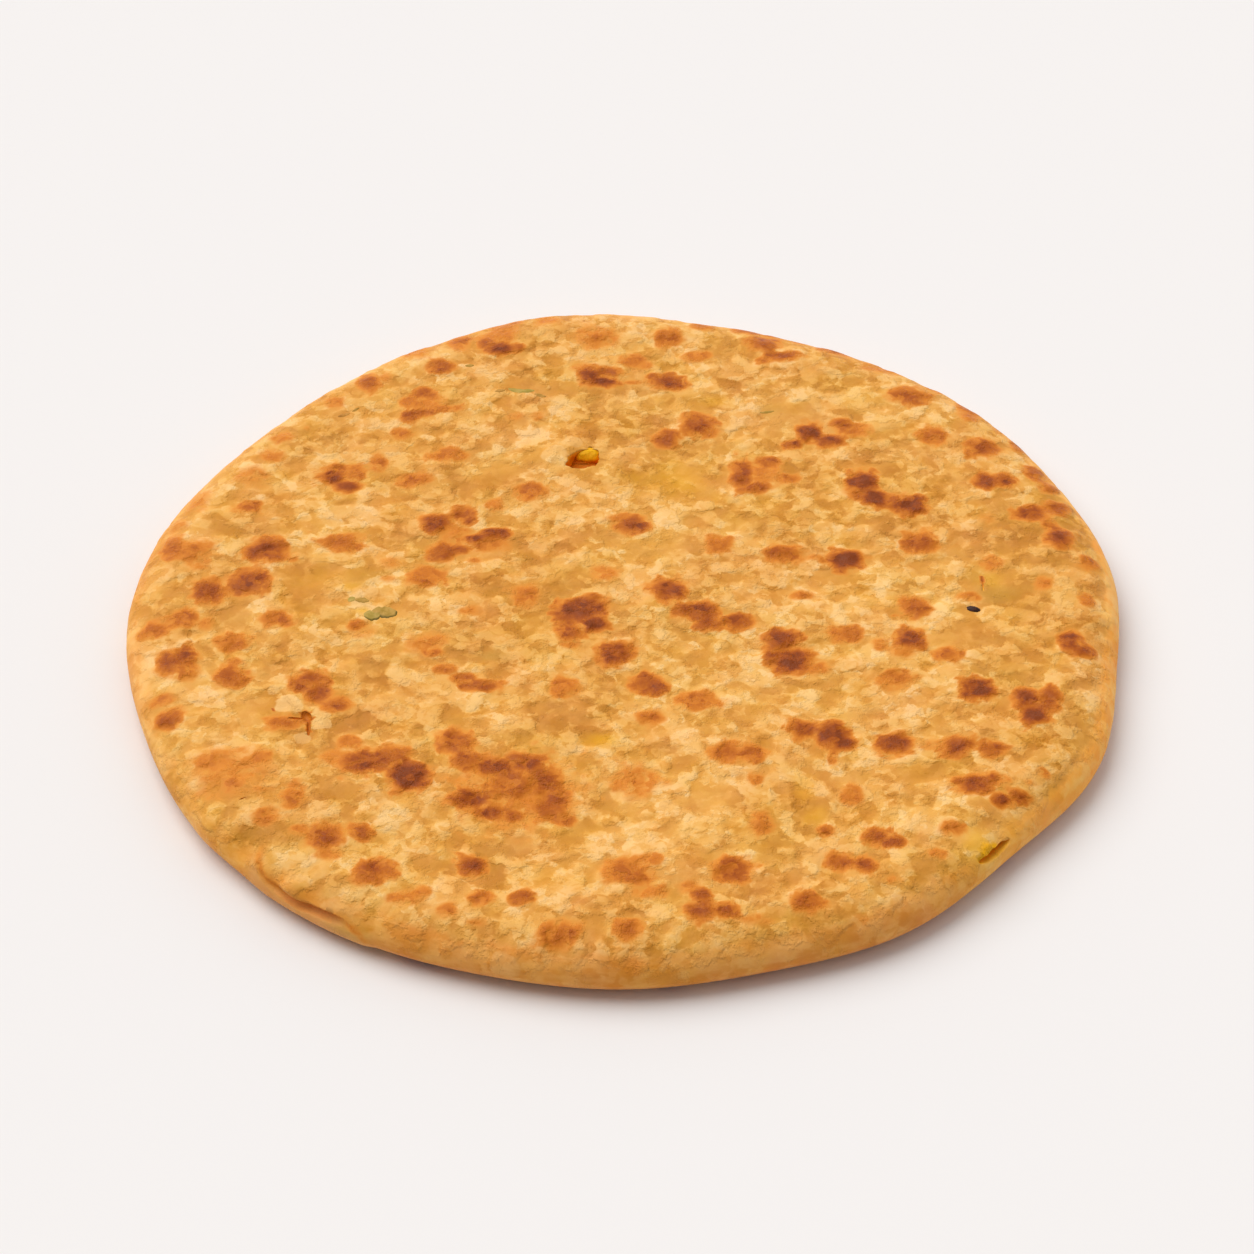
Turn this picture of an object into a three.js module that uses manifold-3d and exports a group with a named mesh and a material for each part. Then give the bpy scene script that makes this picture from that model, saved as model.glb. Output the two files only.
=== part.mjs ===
// An aloo paratha: a round griddled flatbread of wheat dough, rolled out over a spiced potato filling.
// Units are millimetres and +Z is up. The origin is on the table, under the middle of the bread.

import * as THREE from "three";
import { mergeVertices } from "three/addons/utils/BufferGeometryUtils.js";
import Module from "manifold-3d";

// Driving dimensions of the bread
const BREAD_RADIUS = 84;
const BREAD_THICKNESS = 9;
const SKIN = 1.9; // dough above and below the filling
const RIM_DOUGH = 10; // width of the rim that has no filling
const GAP = 0.3; // air between the dough and the filling
const LUMP_GAP = 0.1; // air between the dough and a lump of potato that shows

// The hand-rolled outline: each wave swells the radius by `depth`, `count` times round, first at `turn` / `count`
const OUTLINE_WAVES = [
  { count: 2, depth: 0.6, turn: 121 },
  { count: 3, depth: 0.4, turn: -64 },
  { count: 4, depth: 0.4, turn: 43 },
  { count: 5, depth: 0.5, turn: 139 },
  { count: 6, depth: 0.4, turn: -91 },
  { count: 9, depth: 0.3, turn: 145 },
  { count: 10, depth: 0.2, turn: 139 },
  { count: 11, depth: 0.2, turn: 86 },
  { count: 12, depth: 0.2, turn: 60 },
];

// The rim's rounding: it reaches furthest out at the nose, and the shoulders are how far in the round starts
const DOUGH_PROFILE = { top: BREAD_THICKNESS, base: 0, nose: 3.8, topShoulder: 9, baseShoulder: 4.5 };
const FILLING_SHOULDER = 5;

// Low relief of the top: potato lumps under the skin, and blisters where the dough puffed against the griddle
const LUMPS = { count: 42, height: 0.45, spread: 8.5, reach: 78, beat: 1.9 };
const BLISTERS = { count: 90, height: 0.5, spread: 2.6, reach: 80, beat: 4.3 };
const GOLDEN_ANGLE = Math.PI * (3 - Math.sqrt(5));

// The split in the rim where the filling shows, the tongue of filling that pushed it open, and the lump at its tip
const SPLIT = { bearing: 315.5, height: 6.4, length: 8.6, opening: 1.4, depth: 14 };
const TONGUE = { reach: 8, spread: 4 };
const SPLIT_LUMP = { bearing: 314.6, inset: 4.4, z: 7.1, length: 9, width: 6, height: 1.2 };

// The torn blister on top, and the lump of potato that shows in it
const TEAR = { x: -7.6, y: 39.7, length: 6.8, width: 5.4, depth: 6.4, turn: 20 };
const TEAR_LUMP = { x: -6.8, y: 43, z: 6.4, length: 7.4, width: 4.6, height: 4.3 };

// The crease in the rim, between the top sheet's edge and the lip of the sheet below, and that lip
const CREASE = { from: 228.5, to: 240.5, highEnd: 5.8, lowEnd: 4.2, width: 1.8, bite: 1.4, steps: 14 };
const LIP = { reach: 0.5, height: 1.8, spread: 1.3, fadeIn: 6, fadeOut: 2 };

// How finely each skin is split, and how its points are shared between the top, the rim and the base
const DOUGH_DETAIL = 17;
const FILLING_DETAIL = 8;
const ALMOND_DETAIL = 3;
const TOP_SHARE = 0.5;
const RIM_SHARE = 0.3;

const wasm = await Module();
wasm.setup();

const radians = THREE.MathUtils.degToRad;

function toSolid(geometry) {
  const bare = new THREE.BufferGeometry();
  bare.setAttribute("position", geometry.getAttribute("position"));
  bare.setIndex(geometry.getIndex());
  const merged = mergeVertices(bare);
  return new wasm.Manifold(
    new wasm.Mesh({
      numProp: 3,
      vertProperties: merged.getAttribute("position").array,
      triVerts: new Uint32Array(merged.getIndex().array),
    }),
  );
}

function toGeometry(solid) {
  const { vertProperties, triVerts } = solid.getMesh();
  const geometry = new THREE.BufferGeometry();
  geometry.setAttribute("position", new THREE.BufferAttribute(vertProperties, 3));
  geometry.setIndex(new THREE.BufferAttribute(triVerts, 1));
  geometry.computeVertexNormals();
  return geometry;
}

// Radius of the bread's edge at an angle round the middle
function outlineRadius(angle) {
  const swell = OUTLINE_WAVES.map(({ count, depth, turn }) => depth * Math.cos(count * angle - radians(turn)));
  return BREAD_RADIUS + swell.reduce((sum, wave) => sum + wave, 0);
}

function bell(distance, spread) {
  return Math.exp(-0.5 * (distance / spread) ** 2);
}

// Height of bumps laid out on a golden-angle spiral, each as tall as its own beat makes it
function spiralBumps(x, y, { count, height, spread, reach, beat }, tallness) {
  let sum = 0;
  for (let i = 0; i < count; i++) {
    const out = reach * Math.sqrt((i + 0.5) / count);
    const angle = i * GOLDEN_ANGLE;
    const away = Math.hypot(x - out * Math.cos(angle), y - out * Math.sin(angle));
    sum += height * tallness(Math.cos(i * beat)) * bell(away, spread);
  }
  return sum;
}

function topRelief(x, y) {
  const lumps = spiralBumps(x, y, LUMPS, (beat) => beat);
  const blisters = spiralBumps(x, y, BLISTERS, (beat) => Math.max(0, beat));
  return lumps + blisters;
}

// How far the lip of the lower sheet stands out of the rim, at an angle and a height
function lipReach(angle, height) {
  const degrees = THREE.MathUtils.euclideanModulo(THREE.MathUtils.radToDeg(angle), 360);
  const begun = THREE.MathUtils.smoothstep(degrees, CREASE.from - LIP.fadeIn, CREASE.from);
  const ended = THREE.MathUtils.smoothstep(degrees, CREASE.to, CREASE.to + LIP.fadeOut);
  return LIP.reach * begun * (1 - ended) * bell(height - LIP.height, LIP.spread);
}

// The rim's section at a lean of +90 degrees (top) to -90 degrees (base): how far in from the edge, and how high
function rimSection({ top, base, nose, topShoulder, baseShoulder }, lean) {
  const shoulder = lean > 0 ? topShoulder : baseShoulder;
  const rise = lean > 0 ? top - nose : nose - base;
  return { inset: shoulder * (1 - Math.cos(lean)), height: nose + rise * Math.sin(lean) };
}

// A pillow-shaped solid: an even ball of points, spread over a flat top, a round rim and a flat base
function pillowGeometry({ detail, radiusAt, profile, relief }) {
  const topEnd = 1 - 2 * TOP_SHARE;
  const rimEnd = topEnd - 2 * RIM_SHARE;
  const geometry = new THREE.IcosahedronGeometry(1, detail);
  const position = geometry.getAttribute("position");
  const point = new THREE.Vector3();
  for (let i = 0; i < position.count; i++) {
    point.fromBufferAttribute(position, i).normalize();
    const angle = Math.atan2(point.y, point.x);
    const rimShare = THREE.MathUtils.clamp((topEnd - point.z) / (topEnd - rimEnd), 0, 1);
    const lean = Math.PI * (0.5 - rimShare);
    const { inset, height } = rimSection(profile, lean);
    let out = radiusAt(angle, height) - inset;
    if (rimShare === 0) out *= Math.sqrt((1 - point.z) / (1 - topEnd));
    if (rimShare === 1) out *= Math.sqrt((1 + point.z) / (1 + rimEnd));
    const x = out * Math.cos(angle);
    const y = out * Math.sin(angle);
    position.setXYZ(i, x, y, height + Math.max(0, Math.sin(lean)) * relief(x, y));
  }
  return geometry;
}

function breadSolid() {
  return toSolid(
    pillowGeometry({
      detail: DOUGH_DETAIL,
      radiusAt: (angle, height) => outlineRadius(angle) + lipReach(angle, height),
      profile: DOUGH_PROFILE,
      relief: topRelief,
    }),
  );
}

// How far the filling bulges into the rim at the split
function tongueReach(angle) {
  const turn = THREE.MathUtils.radToDeg(angle) - SPLIT.bearing;
  const away = THREE.MathUtils.euclideanModulo(turn + 180, 360) - 180;
  return TONGUE.reach * bell(away, TONGUE.spread);
}

// An almond-shaped solid, `length` along X, `depth` along Y and `height` along Z
function almondGeometry(length, depth, height) {
  const almond = new THREE.IcosahedronGeometry(0.5, ALMOND_DETAIL);
  almond.scale(length, depth, height);
  return almond;
}

// A lump of potato, grown by `margin` all round, with its middle at the origin
function lumpGeometry({ length, width, height }, margin) {
  return almondGeometry(length + 2 * margin, width + 2 * margin, height + 2 * margin);
}

function tearLump(margin) {
  const { x, y, z } = TEAR_LUMP;
  return toSolid(lumpGeometry(TEAR_LUMP, margin).translate(x, y, z));
}

function splitLump(margin) {
  const angle = radians(SPLIT_LUMP.bearing);
  const out = outlineRadius(angle) - SPLIT_LUMP.inset;
  const lump = lumpGeometry(SPLIT_LUMP, margin);
  lump.rotateZ(angle + Math.PI / 2);
  lump.translate(out * Math.cos(angle), out * Math.sin(angle), SPLIT_LUMP.z);
  return toSolid(lump);
}

// The filling, grown by `margin` and its lumps by `lumpMargin`: with the gaps as margins it is the hollow for it
function fillingSolid(margin, lumpMargin) {
  const mash = toSolid(
    pillowGeometry({
      detail: FILLING_DETAIL,
      radiusAt: (angle) => outlineRadius(angle) - RIM_DOUGH + tongueReach(angle) + margin,
      profile: {
        top: BREAD_THICKNESS - SKIN + margin,
        base: SKIN - margin,
        nose: BREAD_THICKNESS / 2,
        topShoulder: FILLING_SHOULDER,
        baseShoulder: FILLING_SHOULDER,
      },
      relief: (x, y) => spiralBumps(x, y, LUMPS, (beat) => beat),
    }),
  );
  return mash.add(tearLump(lumpMargin)).add(splitLump(lumpMargin));
}

function splitCutter() {
  const { bearing, height, length, opening, depth } = SPLIT;
  const angle = radians(bearing);
  const edge = outlineRadius(angle);
  const cutter = almondGeometry(length, depth, opening);
  cutter.rotateZ(angle + Math.PI / 2);
  cutter.translate(edge * Math.cos(angle), edge * Math.sin(angle), height);
  return toSolid(cutter);
}

function tearCutter() {
  const cutter = almondGeometry(TEAR.length, TEAR.width, TEAR.depth);
  cutter.rotateZ(radians(TEAR.turn));
  cutter.translate(TEAR.x, TEAR.y, BREAD_THICKNESS);
  return toSolid(cutter);
}

// A groove cutter that follows the rim's surface, sinks from one end to the other and comes out at both ends
function creaseCutter() {
  const { from, to, highEnd, lowEnd, width, bite, steps } = CREASE;
  const { top, nose } = DOUGH_PROFILE;
  const points = [];
  for (let i = 0; i <= steps; i++) {
    const share = i / steps;
    const angle = radians(THREE.MathUtils.lerp(from, to, share));
    const height = THREE.MathUtils.lerp(highEnd, lowEnd, share);
    const lean = Math.asin(Math.max(0, height - nose) / (top - nose));
    const surface = outlineRadius(angle) + lipReach(angle, height) - rimSection(DOUGH_PROFILE, lean).inset;
    const out = surface + bite * (1 - Math.sin(Math.PI * share));
    points.push(new THREE.Vector3(out * Math.cos(angle), out * Math.sin(angle), height));
  }
  const section = new THREE.Shape().absellipse(0, 0, width / 2, bite, 0, 2 * Math.PI);
  const route = new THREE.CatmullRomCurve3(points);
  return toSolid(new THREE.ExtrudeGeometry(section, { steps, curveSegments: 3, extrudePath: route }));
}

function doughMesh() {
  const cutters = [fillingSolid(GAP, LUMP_GAP), splitCutter(), tearCutter(), creaseCutter()];
  const dough = cutters.reduce((solid, cutter) => solid.subtract(cutter), breadSolid());
  const material = new THREE.MeshStandardMaterial({ color: 0xe0a050, roughness: 0.6, metalness: 0 });
  const mesh = new THREE.Mesh(toGeometry(dough), material);
  mesh.name = "dough";
  return mesh;
}

function fillingMesh() {
  const material = new THREE.MeshStandardMaterial({ color: 0xe2ac2e, roughness: 0.7, metalness: 0 });
  const mesh = new THREE.Mesh(toGeometry(fillingSolid(0, 0)), material);
  mesh.name = "filling";
  return mesh;
}

const paratha = new THREE.Group();
paratha.name = "aloo_paratha";
paratha.add(doughMesh(), fillingMesh());

export default paratha;
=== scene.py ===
# %% [markdown]
# # An aloo paratha, dressed for a picture
# An aloo paratha is a round of wheat dough, rolled out over spiced potato and fried on a dry iron
# griddle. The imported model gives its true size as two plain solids, dough and filling. This lesson
# rebuilds both with a finer skin: the flakes, the blisters that browned on the iron, the split rim, and
# the bits of leaf and seed that show through.

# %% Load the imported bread
import math

import bmesh
import bpy
import numpy as np
from mathutils import Matrix, Vector, noise
from mathutils.bvhtree import BVHTree


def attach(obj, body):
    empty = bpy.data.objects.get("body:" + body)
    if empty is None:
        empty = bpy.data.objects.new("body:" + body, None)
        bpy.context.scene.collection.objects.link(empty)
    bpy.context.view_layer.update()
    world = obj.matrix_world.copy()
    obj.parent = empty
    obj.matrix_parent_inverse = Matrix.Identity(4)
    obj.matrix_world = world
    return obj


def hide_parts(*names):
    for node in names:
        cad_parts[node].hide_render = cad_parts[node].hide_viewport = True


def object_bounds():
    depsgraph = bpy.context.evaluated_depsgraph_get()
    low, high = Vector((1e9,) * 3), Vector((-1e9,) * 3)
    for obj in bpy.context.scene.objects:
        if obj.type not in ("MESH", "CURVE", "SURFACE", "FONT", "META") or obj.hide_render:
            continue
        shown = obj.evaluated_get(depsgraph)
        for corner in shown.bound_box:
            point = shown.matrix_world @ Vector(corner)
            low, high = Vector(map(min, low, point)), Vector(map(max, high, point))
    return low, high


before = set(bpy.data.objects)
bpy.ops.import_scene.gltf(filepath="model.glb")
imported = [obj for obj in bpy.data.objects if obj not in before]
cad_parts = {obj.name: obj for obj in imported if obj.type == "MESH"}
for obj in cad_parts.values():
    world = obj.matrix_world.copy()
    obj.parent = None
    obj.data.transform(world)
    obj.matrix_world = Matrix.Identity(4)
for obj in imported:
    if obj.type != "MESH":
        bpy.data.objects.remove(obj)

cad_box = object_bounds()
MM = 0.001
box_in_mm = [[round(v / MM, 1) for v in corner] for corner in cad_box]
print("nodes:", sorted(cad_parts), "box in mm:", box_in_mm)

# %% [markdown]
# ## The camera
# The picture looks down at the bread from 41 degrees above the table, through a long lens from 0.8 m
# away. A long lens keeps the round bread from bulging towards the viewer. The camera aims a little behind
# the bread's middle, which sets the bread slightly low in the square frame.

# %% Place the camera
VIEW_ELEVATION = math.radians(41)
VIEW_DISTANCE = 0.8
AIM = Vector((0.0002, 0.0051, 0.0))

camera_data = bpy.data.cameras.new("camera")
camera_data.sensor_width = 36.0
camera_data.lens = 134.65
camera = bpy.data.objects.new("camera", camera_data)
camera.location = AIM + VIEW_DISTANCE * Vector((0, -math.cos(VIEW_ELEVATION), math.sin(VIEW_ELEVATION)))
camera.rotation_euler = (math.pi / 2 - VIEW_ELEVATION, 0, 0)
bpy.context.scene.collection.objects.link(camera)
bpy.context.scene.camera = camera
print("camera at", [round(v, 3) for v in camera.location])

# %% [markdown]
# ## The bread's measures
# These are the sizes that the solids were made from, in millimetres: a disc with a slow, hand-rolled wave
# in its outline, and a rim that is round above and tighter below. Low lumps of potato lie on a
# golden-angle spiral, because that spreads any number of bumps evenly with no rows to notice. Writing the
# same rules here keeps the finer skin exactly over the solid.

# %% Outline, rim and low lumps
BREAD_RADIUS = 84.0
TOP, NOSE = 9.0, 3.8
TOP_SHOULDER, BASE_SHOULDER = 9.0, 4.5
OUTLINE_WAVES = (
    (2, 0.6, 121), (3, 0.4, -64), (4, 0.4, 43), (5, 0.5, 139), (6, 0.4, -91), (9, 0.3, 145),
    (10, 0.2, 139), (11, 0.2, 86), (12, 0.2, 60),
)
LIP = {"arc": (222.5, 228.5, 240.5, 242.5), "reach": 0.5, "height": 1.8, "spread": 1.3}
GOLDEN_ANGLE = math.pi * (3 - math.sqrt(5))


def outline_radius(angle):
    radius = BREAD_RADIUS
    for count, depth, turn in OUTLINE_WAVES:
        radius = radius + depth * np.cos(count * angle - math.radians(turn))
    return radius


def bell(distance, spread):
    return np.exp(-0.5 * (distance / spread) ** 2)


def smooth_step(value, low, high):
    share = np.clip((value - low) / (high - low), 0, 1)
    return share * share * (3 - 2 * share)


def arc(bearing, begin, full, fading, gone):
    # 1 along a stretch of the rim, between bearings in degrees, with soft ends
    return smooth_step(bearing, begin, full) * (1 - smooth_step(bearing, fading, gone))


around = np.linspace(0, 2 * math.pi, 361)
print("breadth in mm:", round(2 * float(outline_radius(around).mean()), 1))

# %% [markdown]
# The rim's section is a quarter of an oval above the widest line and a tighter one below it. Along the
# crease, the lower sheet of dough stands out as a lip. Lumps and blisters are soft bells.

# %% Lip, lumps and rim section
def lip_reach(angle, height):
    along = arc(np.degrees(angle) % 360, *LIP["arc"])
    return LIP["reach"] * along * bell(height - LIP["height"], LIP["spread"])


def spiral_bumps(x, y, count, height, spread, reach, beat, dents):
    total = np.zeros_like(x)
    for i in range(count):
        out, angle = reach * math.sqrt((i + 0.5) / count), i * GOLDEN_ANGLE
        tall = math.cos(i * beat)
        if dents or tall > 0:
            away = np.hypot(x - out * math.cos(angle), y - out * math.sin(angle))
            total += height * tall * bell(away, spread)
    return total


def low_relief(x, y):
    lumps = spiral_bumps(x, y, count=42, height=0.45, spread=8.5, reach=78, beat=1.9, dents=True)
    blisters = spiral_bumps(x, y, count=90, height=0.5, spread=2.6, reach=80, beat=4.3, dents=False)
    return lumps + blisters


def rim_section(lean):
    shoulder = np.where(lean > 0, TOP_SHOULDER, BASE_SHOULDER)
    rise = np.where(lean > 0, TOP - NOSE, NOSE)
    return shoulder * (1 - np.cos(lean)), NOSE + rise * np.sin(lean)


print("rim's widest line and top in mm:", rim_section(np.array((0.0, math.pi / 2)))[1])

# %% [markdown]
# ## Where the griddle browned it
# Dough puffs into blisters, and each blister browns where it touches the hot iron: dark in the middle, with
# an orange ring. A purely random scatter would look right from afar, but this bread has its own face, so the
# main spots are listed one by one, each as a soft oval: its place, its half-sizes and how dark it got, in
# millimetres on the bread.

# %% Browned spots of the top
BROWNED_SPOTS = (
    # along the back edge
    (-38, 71.9, 2.2, 2.4, .4), (-30, 73.9, 1.6, 2.6, .6), (-25, 72.2, 1.3, 1.3, .8),
    (-22.5, 70.7, 2.2, 1.2, .92), (-19.6, 70.9, 1.1, .9, .7), (-23, 74.4, 3.2, 2.6, .45),
    (-22, 78.9, 2.2, 2.4, .5), (-14, 79.9, 1.9, 1.8, .42), (-5, 74.3, 3.4, 2.8, .42),
    (-5, 73.7, 1.2, 1.2, .58), (7.4, 74.3, 2, 2.1, .62), (14, 78.9, 1.8, 1.8, .5),
    (24.4, 73.3, 2.4, 1.9, .75), (22, 78.4, 2, 1.6, .65), (27.5, 77.9, 2.4, 1.6, .68),
    (31.5, 76.9, 1.6, 1.6, .66), (28, 68.6, 2.8, 1.2, .8), (38, 72.5, 2.6, 1.6, .55),
    (46, 66.9, 3, 2, .42), (55, 61.4, 1.4, 2, .42), (60.6, 54.4, 1.4, 3.2, .6), (66, 49.9, 1.1, 1.6, .36),
    (69, 45.9, 1.1, 2.8, .52), (71.4, 36.5, 1.6, 2.2, .66), (73.6, 32.9, 1.4, 1.4, .66),
    (1, 67.7, 1.8, 1.5, .6), (3.4, 66.3, 1.3, 1, .42), (12.8, 68.9, 2, 1.4, .52),
    # back left
    (-33, 65.4, 1.9, 1.5, .76), (-46, 61.9, 1.8, 2.4, .65), (-43, 62.5, 1.2, 1.4, .38),
    (-52, 56.4, 1.8, 1.7, .42), (-36, 58.3, 1.5, 1.2, .76), (-38.4, 55.9, 1.2, 1.6, .62),
    (-38, 51.3, 1.3, 1.3, .8), (-35.4, 52.4, 1.8, .8, .7), (-32, 53.5, 2.2, .9, .7),
    (-35, 55.3, 2.4, 1.8, .48), (-39.4, 46.7, 1.6, 1.4, .52), (-31, 40.4, 2.5, 1.7, .62),
    (-51, 34.9, 1.8, 2, .92), (-48.5, 32.2, 1.9, 1.3, .92), (-47.6, 35.9, 1.7, 1.8, .66),
    (-50, 36.9, 2.6, 1.4, .6), (-43, 38.5, 1.4, 1.9, .56), (-37, 33.6, 2.2, 1.4, .66),
    (-62, 40.9, 1.6, 1.3, .52), (-60.4, 46.3, 1.6, 1.4, .46), (-56, 48.4, .8, .7, .34),
    (-65, 34.9, 2.8, 2.2, .36), (-65, 26.2, 1.8, 1.5, .72), (-74, 28.9, 1.8, 3.2, .36),
    # back middle
    (-6.8, 62.8, 1.5, 1.6, .9), (-4, 61.3, 2.4, 1, .95), (-3.2, 63.9, 2, 1.4, .68),
    (-7, 64.9, 2.2, 1.2, .5), (1.4, 61.2, 1.5, .5, .52), (7, 61.4, 2.7, 1.7, .86),
    (12.7, 49.1, 2.3, 2.3, .8), (14.4, 47.3, 1.8, 1.4, .52), (7.3, 44.9, 1.8, 1.8, .76),
    (-19.5, 51.3, 1.2, 1, .42), (-15.7, 51.4, 1.1, 1, .4), (-16.6, 30.3, 2, 1.7, .7),
    (20.2, 34.9, 1.6, 3.2, .82), (22.6, 31.5, 2.4, 1.2, .72), (25, 38.5, 1.7, 1.4, .72),
    (28, 33.9, 2, 1.2, .5), (23.6, 35.5, 3, 2.8, .44),
    # back right
    (32.3, 46.7, 1.9, 2, .96), (36, 44.5, 1.9, 1.4, .92), (29, 43.5, 1.4, 1, .8),
    (38.2, 48.9, 1.6, 1.6, .76), (40.6, 47.5, 2.2, 1.8, .55), (50.6, 57.3, 2.6, 1.8, .75),
    (54, 45.9, 2, 1.8, .66), (62.5, 42.5, 2, 2, .76), (62.6, 33.5, 1.8, 1.8, .84),
    (66, 33.4, 1.7, 1.5, .84), (41.4, 32.9, 2, 1.9, .98), (43, 28.2, 1.9, 1.7, .96),
    (41, 29.9, 2.2, 2, .7), (49.2, 26.6, 2.2, 1.9, .96), (46, 28.3, 2, 1, .62), (70.2, 24.5, 2, 1.8, .86),
    (74.6, 26.5, 1.6, 1.6, .8), (74, 18.2, 2.1, 2.3, .86), (72.6, 21.5, 1.2, 1.6, .56),
    (62, 22.9, 1.6, 1.6, .3),
    # left
    (-77.6, 15.9, 1.7, 2.4, .72), (-73.6, 13.9, 2.2, 2.6, .58), (-77, 22.4, 1.5, 1.8, .36),
    (-61.6, 13.9, 2.8, 2.6, .8), (-59.8, 15.9, 1.2, 1.6, .66), (-48.6, 16.9, 2.7, 1.9, .66),
    (-70.6, 3.9, 2.1, 2.3, .82), (-64, 5.9, 2.7, 2.5, .82), (-67.4, 4.5, 1.6, 1, .55),
    (-74.4, -2.6, 2.1, 1.9, .66), (-79, -5.1, 2.1, 1.6, .66), (-70.6, -4.1, 1.1, 1.4, .46),
    (-65.6, -8.6, 2.5, 1.7, .66), (-58.8, -2.9, 1.9, 1.9, .68), (-76, -13.9, 1.7, 2.4, .86),
    (-73, -12.1, 1.3, 1.9, .82), (-73.4, -16.1, 2.3, 1.9, .56), (-65.6, -17.6, 1.9, 2.1, .72),
    (-65, -13.7, 1, .9, .45), (-76.4, -22.6, 1.7, 1.2, .52), (-75, -27.1, 1.9, 1.8, .72),
    (-53, -18.7, 2.3, 1.9, .76), (-50.6, -21.6, 1.9, 1.9, .82), (-47.6, -24.6, 1.9, 1.6, .72),
    (-56, -29.1, 2.1, 1.6, .62), (-45.2, -5.1, 1.4, 1.1, .56), (-44, -6.7, 2.2, 1.3, .32),
    # middle left
    (-33, 21.5, 1.9, 1.9, .86), (-28, 24.3, 1.7, 1.8, .7), (-27, 22.5, 1.1, 1.1, .86),
    (-23, 26.9, 1.4, 1.2, .52), (-26, 17.9, 1.4, 1.2, .86), (-22.4, 19.2, 2.1, 1.3, .86),
    (-28.2, 14.9, 1.4, 1, .8), (-31, 14.5, 2, 1.9, .8), (-23.4, 16.5, 3, 2, .56),
    (-29, 18.9, 2.6, 2.6, .45), (-26, 11.9, 1, .8, .45), (-33.5, 7.5, 2.4, 2.1, .62),
    (-40, 11.3, 1.8, 1.6, .34), (-40.4, 7.2, 1.2, .8, .36), (-33, -9.1, 3, 2.3, .42),
    (-32, -11.7, 1.7, .8, .58), (-29.6, -15.9, 1.6, 1.1, .56), (-27, -18.1, 2, 1.1, .64),
    (-24, -20.1, 2.5, 1.3, .78), (-17, 3.2, 2.1, 2.1, .52), (-26, -1.1, 1.7, 1, .46),
    (-3.5, 8.6, 2.1, 1.7, .46), (-10, -20.6, 2.2, 1.9, .62),
    # middle
    (-7.4, -.9, 3, 2.5, .92), (-5, -4.5, 1.6, 1.5, .95), (-9.4, -6.5, 1.9, 2.1, .8),
    (-9, -9.5, 1.4, 1, .46), (1.3, 21.2, 2.4, 1.8, .86), (-.6, 22.9, 2, 1.4, .52),
    (15.8, 15.9, 1.9, 1.9, .66), (7.4, 3.6, 2.5, 2.4, .9), (12.4, -2, 2.7, 2, .86),
    (13.6, -4.7, 1.7, 1.4, .86), (18.8, -4, 2.2, 1.5, .86), (-1.7, -12.1, 2.4, 2.2, .9),
    (3.6, -19.4, 2.2, 2.1, .86), (11.8, -23.6, 2.8, 1.7, .62), (3.8, -27.8, 1.9, 1.7, .6),
    (27, 14.1, 2.5, 1.8, .76), (26, -8.5, 2.4, 1.8, .9), (27.6, -13.6, 2.8, 2.3, .98),
    (31.6, -15.7, 1.6, 1.4, .52), (29.8, 3.2, 1.5, 1.1, .56),
    # right
    (37.6, 12.6, 2.4, 2.1, .96), (32.6, 13.3, 1.8, .7, .4), (50.2, 16.9, 2.3, 2.3, .76),
    (62.7, 11.6, 1.6, 1.4, .46), (79, 11.9, 1.4, 1.5, .55), (78, 2.1, 1.2, 1.5, .52),
    (71, 5.9, 1.2, 1.4, .46), (48.8, -.3, 2.1, 2.1, .76), (58, 2.9, 1.5, 1, .52),
    (37, -7.4, 2.1, 1.7, .66), (47.6, -8.6, 2, 2, .88), (42.4, -10.5, 1.2, 1.4, .46),
    (46, -11.7, 2.2, 1.4, .42), (53.6, -12.6, 1.8, 1.5, .66), (44.4, -18.4, 2.3, 1.8, .6),
    (58, -21.4, 2.1, 2, .96), (66, -23.1, 1.9, 1.9, .9), (70, -22.5, 1.4, 1.8, .86),
    (67, -27.5, 1.9, 1.9, .96), (68.4, -25.1, 2.2, 2, .72), (74.2, -8.5, 1.5, 2.2, .9),
    (76.4, -11.4, 1.7, 1.3, .86),
    # front left
    (-43, -39.1, 2.8, 2.4, .86), (-45, -34.1, 1.7, 1.2, .6), (-47, -38.1, 1.8, 1.8, .42),
    (-38.4, -37.7, 2.4, 1.9, .76), (-35, -42.5, 3, 2.6, .95), (-39.6, -40.1, 1.8, 1.4, .62),
    (-64, -41.1, 5.4, 4.6, .4), (-64, -44.1, 1.5, 1, .58), (-68, -38.5, 1.5, 1.2, .52),
    (-59, -38.1, 1.6, 1.6, .52), (-53.4, -47.1, 1.3, 2.3, .56), (-58, -52.1, 1.8, 1.5, .52),
    (-52, -54.6, 1.2, 1, .62), (-47.6, -56.1, 2.3, 2.2, .76), (-47, -59.9, 1.9, 1.2, .48),
    (-42, -55.3, 1.7, 1.4, .7), (-40, -63.5, 2.3, 1.9, .8), (-42, -66.1, 1.2, .8, .5),
    (-34.6, -69.5, 2.6, 1.2, .5), (-32, -68.7, 1.2, 1.1, .56), (-28, -72.9, 1.5, 1.1, .52),
    (-24.4, -62.4, 1.7, 1.7, .86), (-16.2, -69.8, 1.4, 1.4, .7), (-23, -70.1, 1.9, 1.2, .66),
    (-23, -75.1, 1.5, .8, .38), (-10.4, -78.1, 2.8, 1.6, .7), (.3, -77.1, 1.9, 1.5, .7),
    # the large scorched patch
    (-27.6, -34.1, 2.4, 2.3, .76), (-26, -38.5, 1.9, 2, .82), (-21, -40.1, 2.9, 2.2, .84),
    (-16.4, -39.1, 2.8, 1.9, .8), (-19, -44.1, 3.8, 2.8, .7), (-13, -43.1, 2.4, 2.9, .72),
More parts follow.
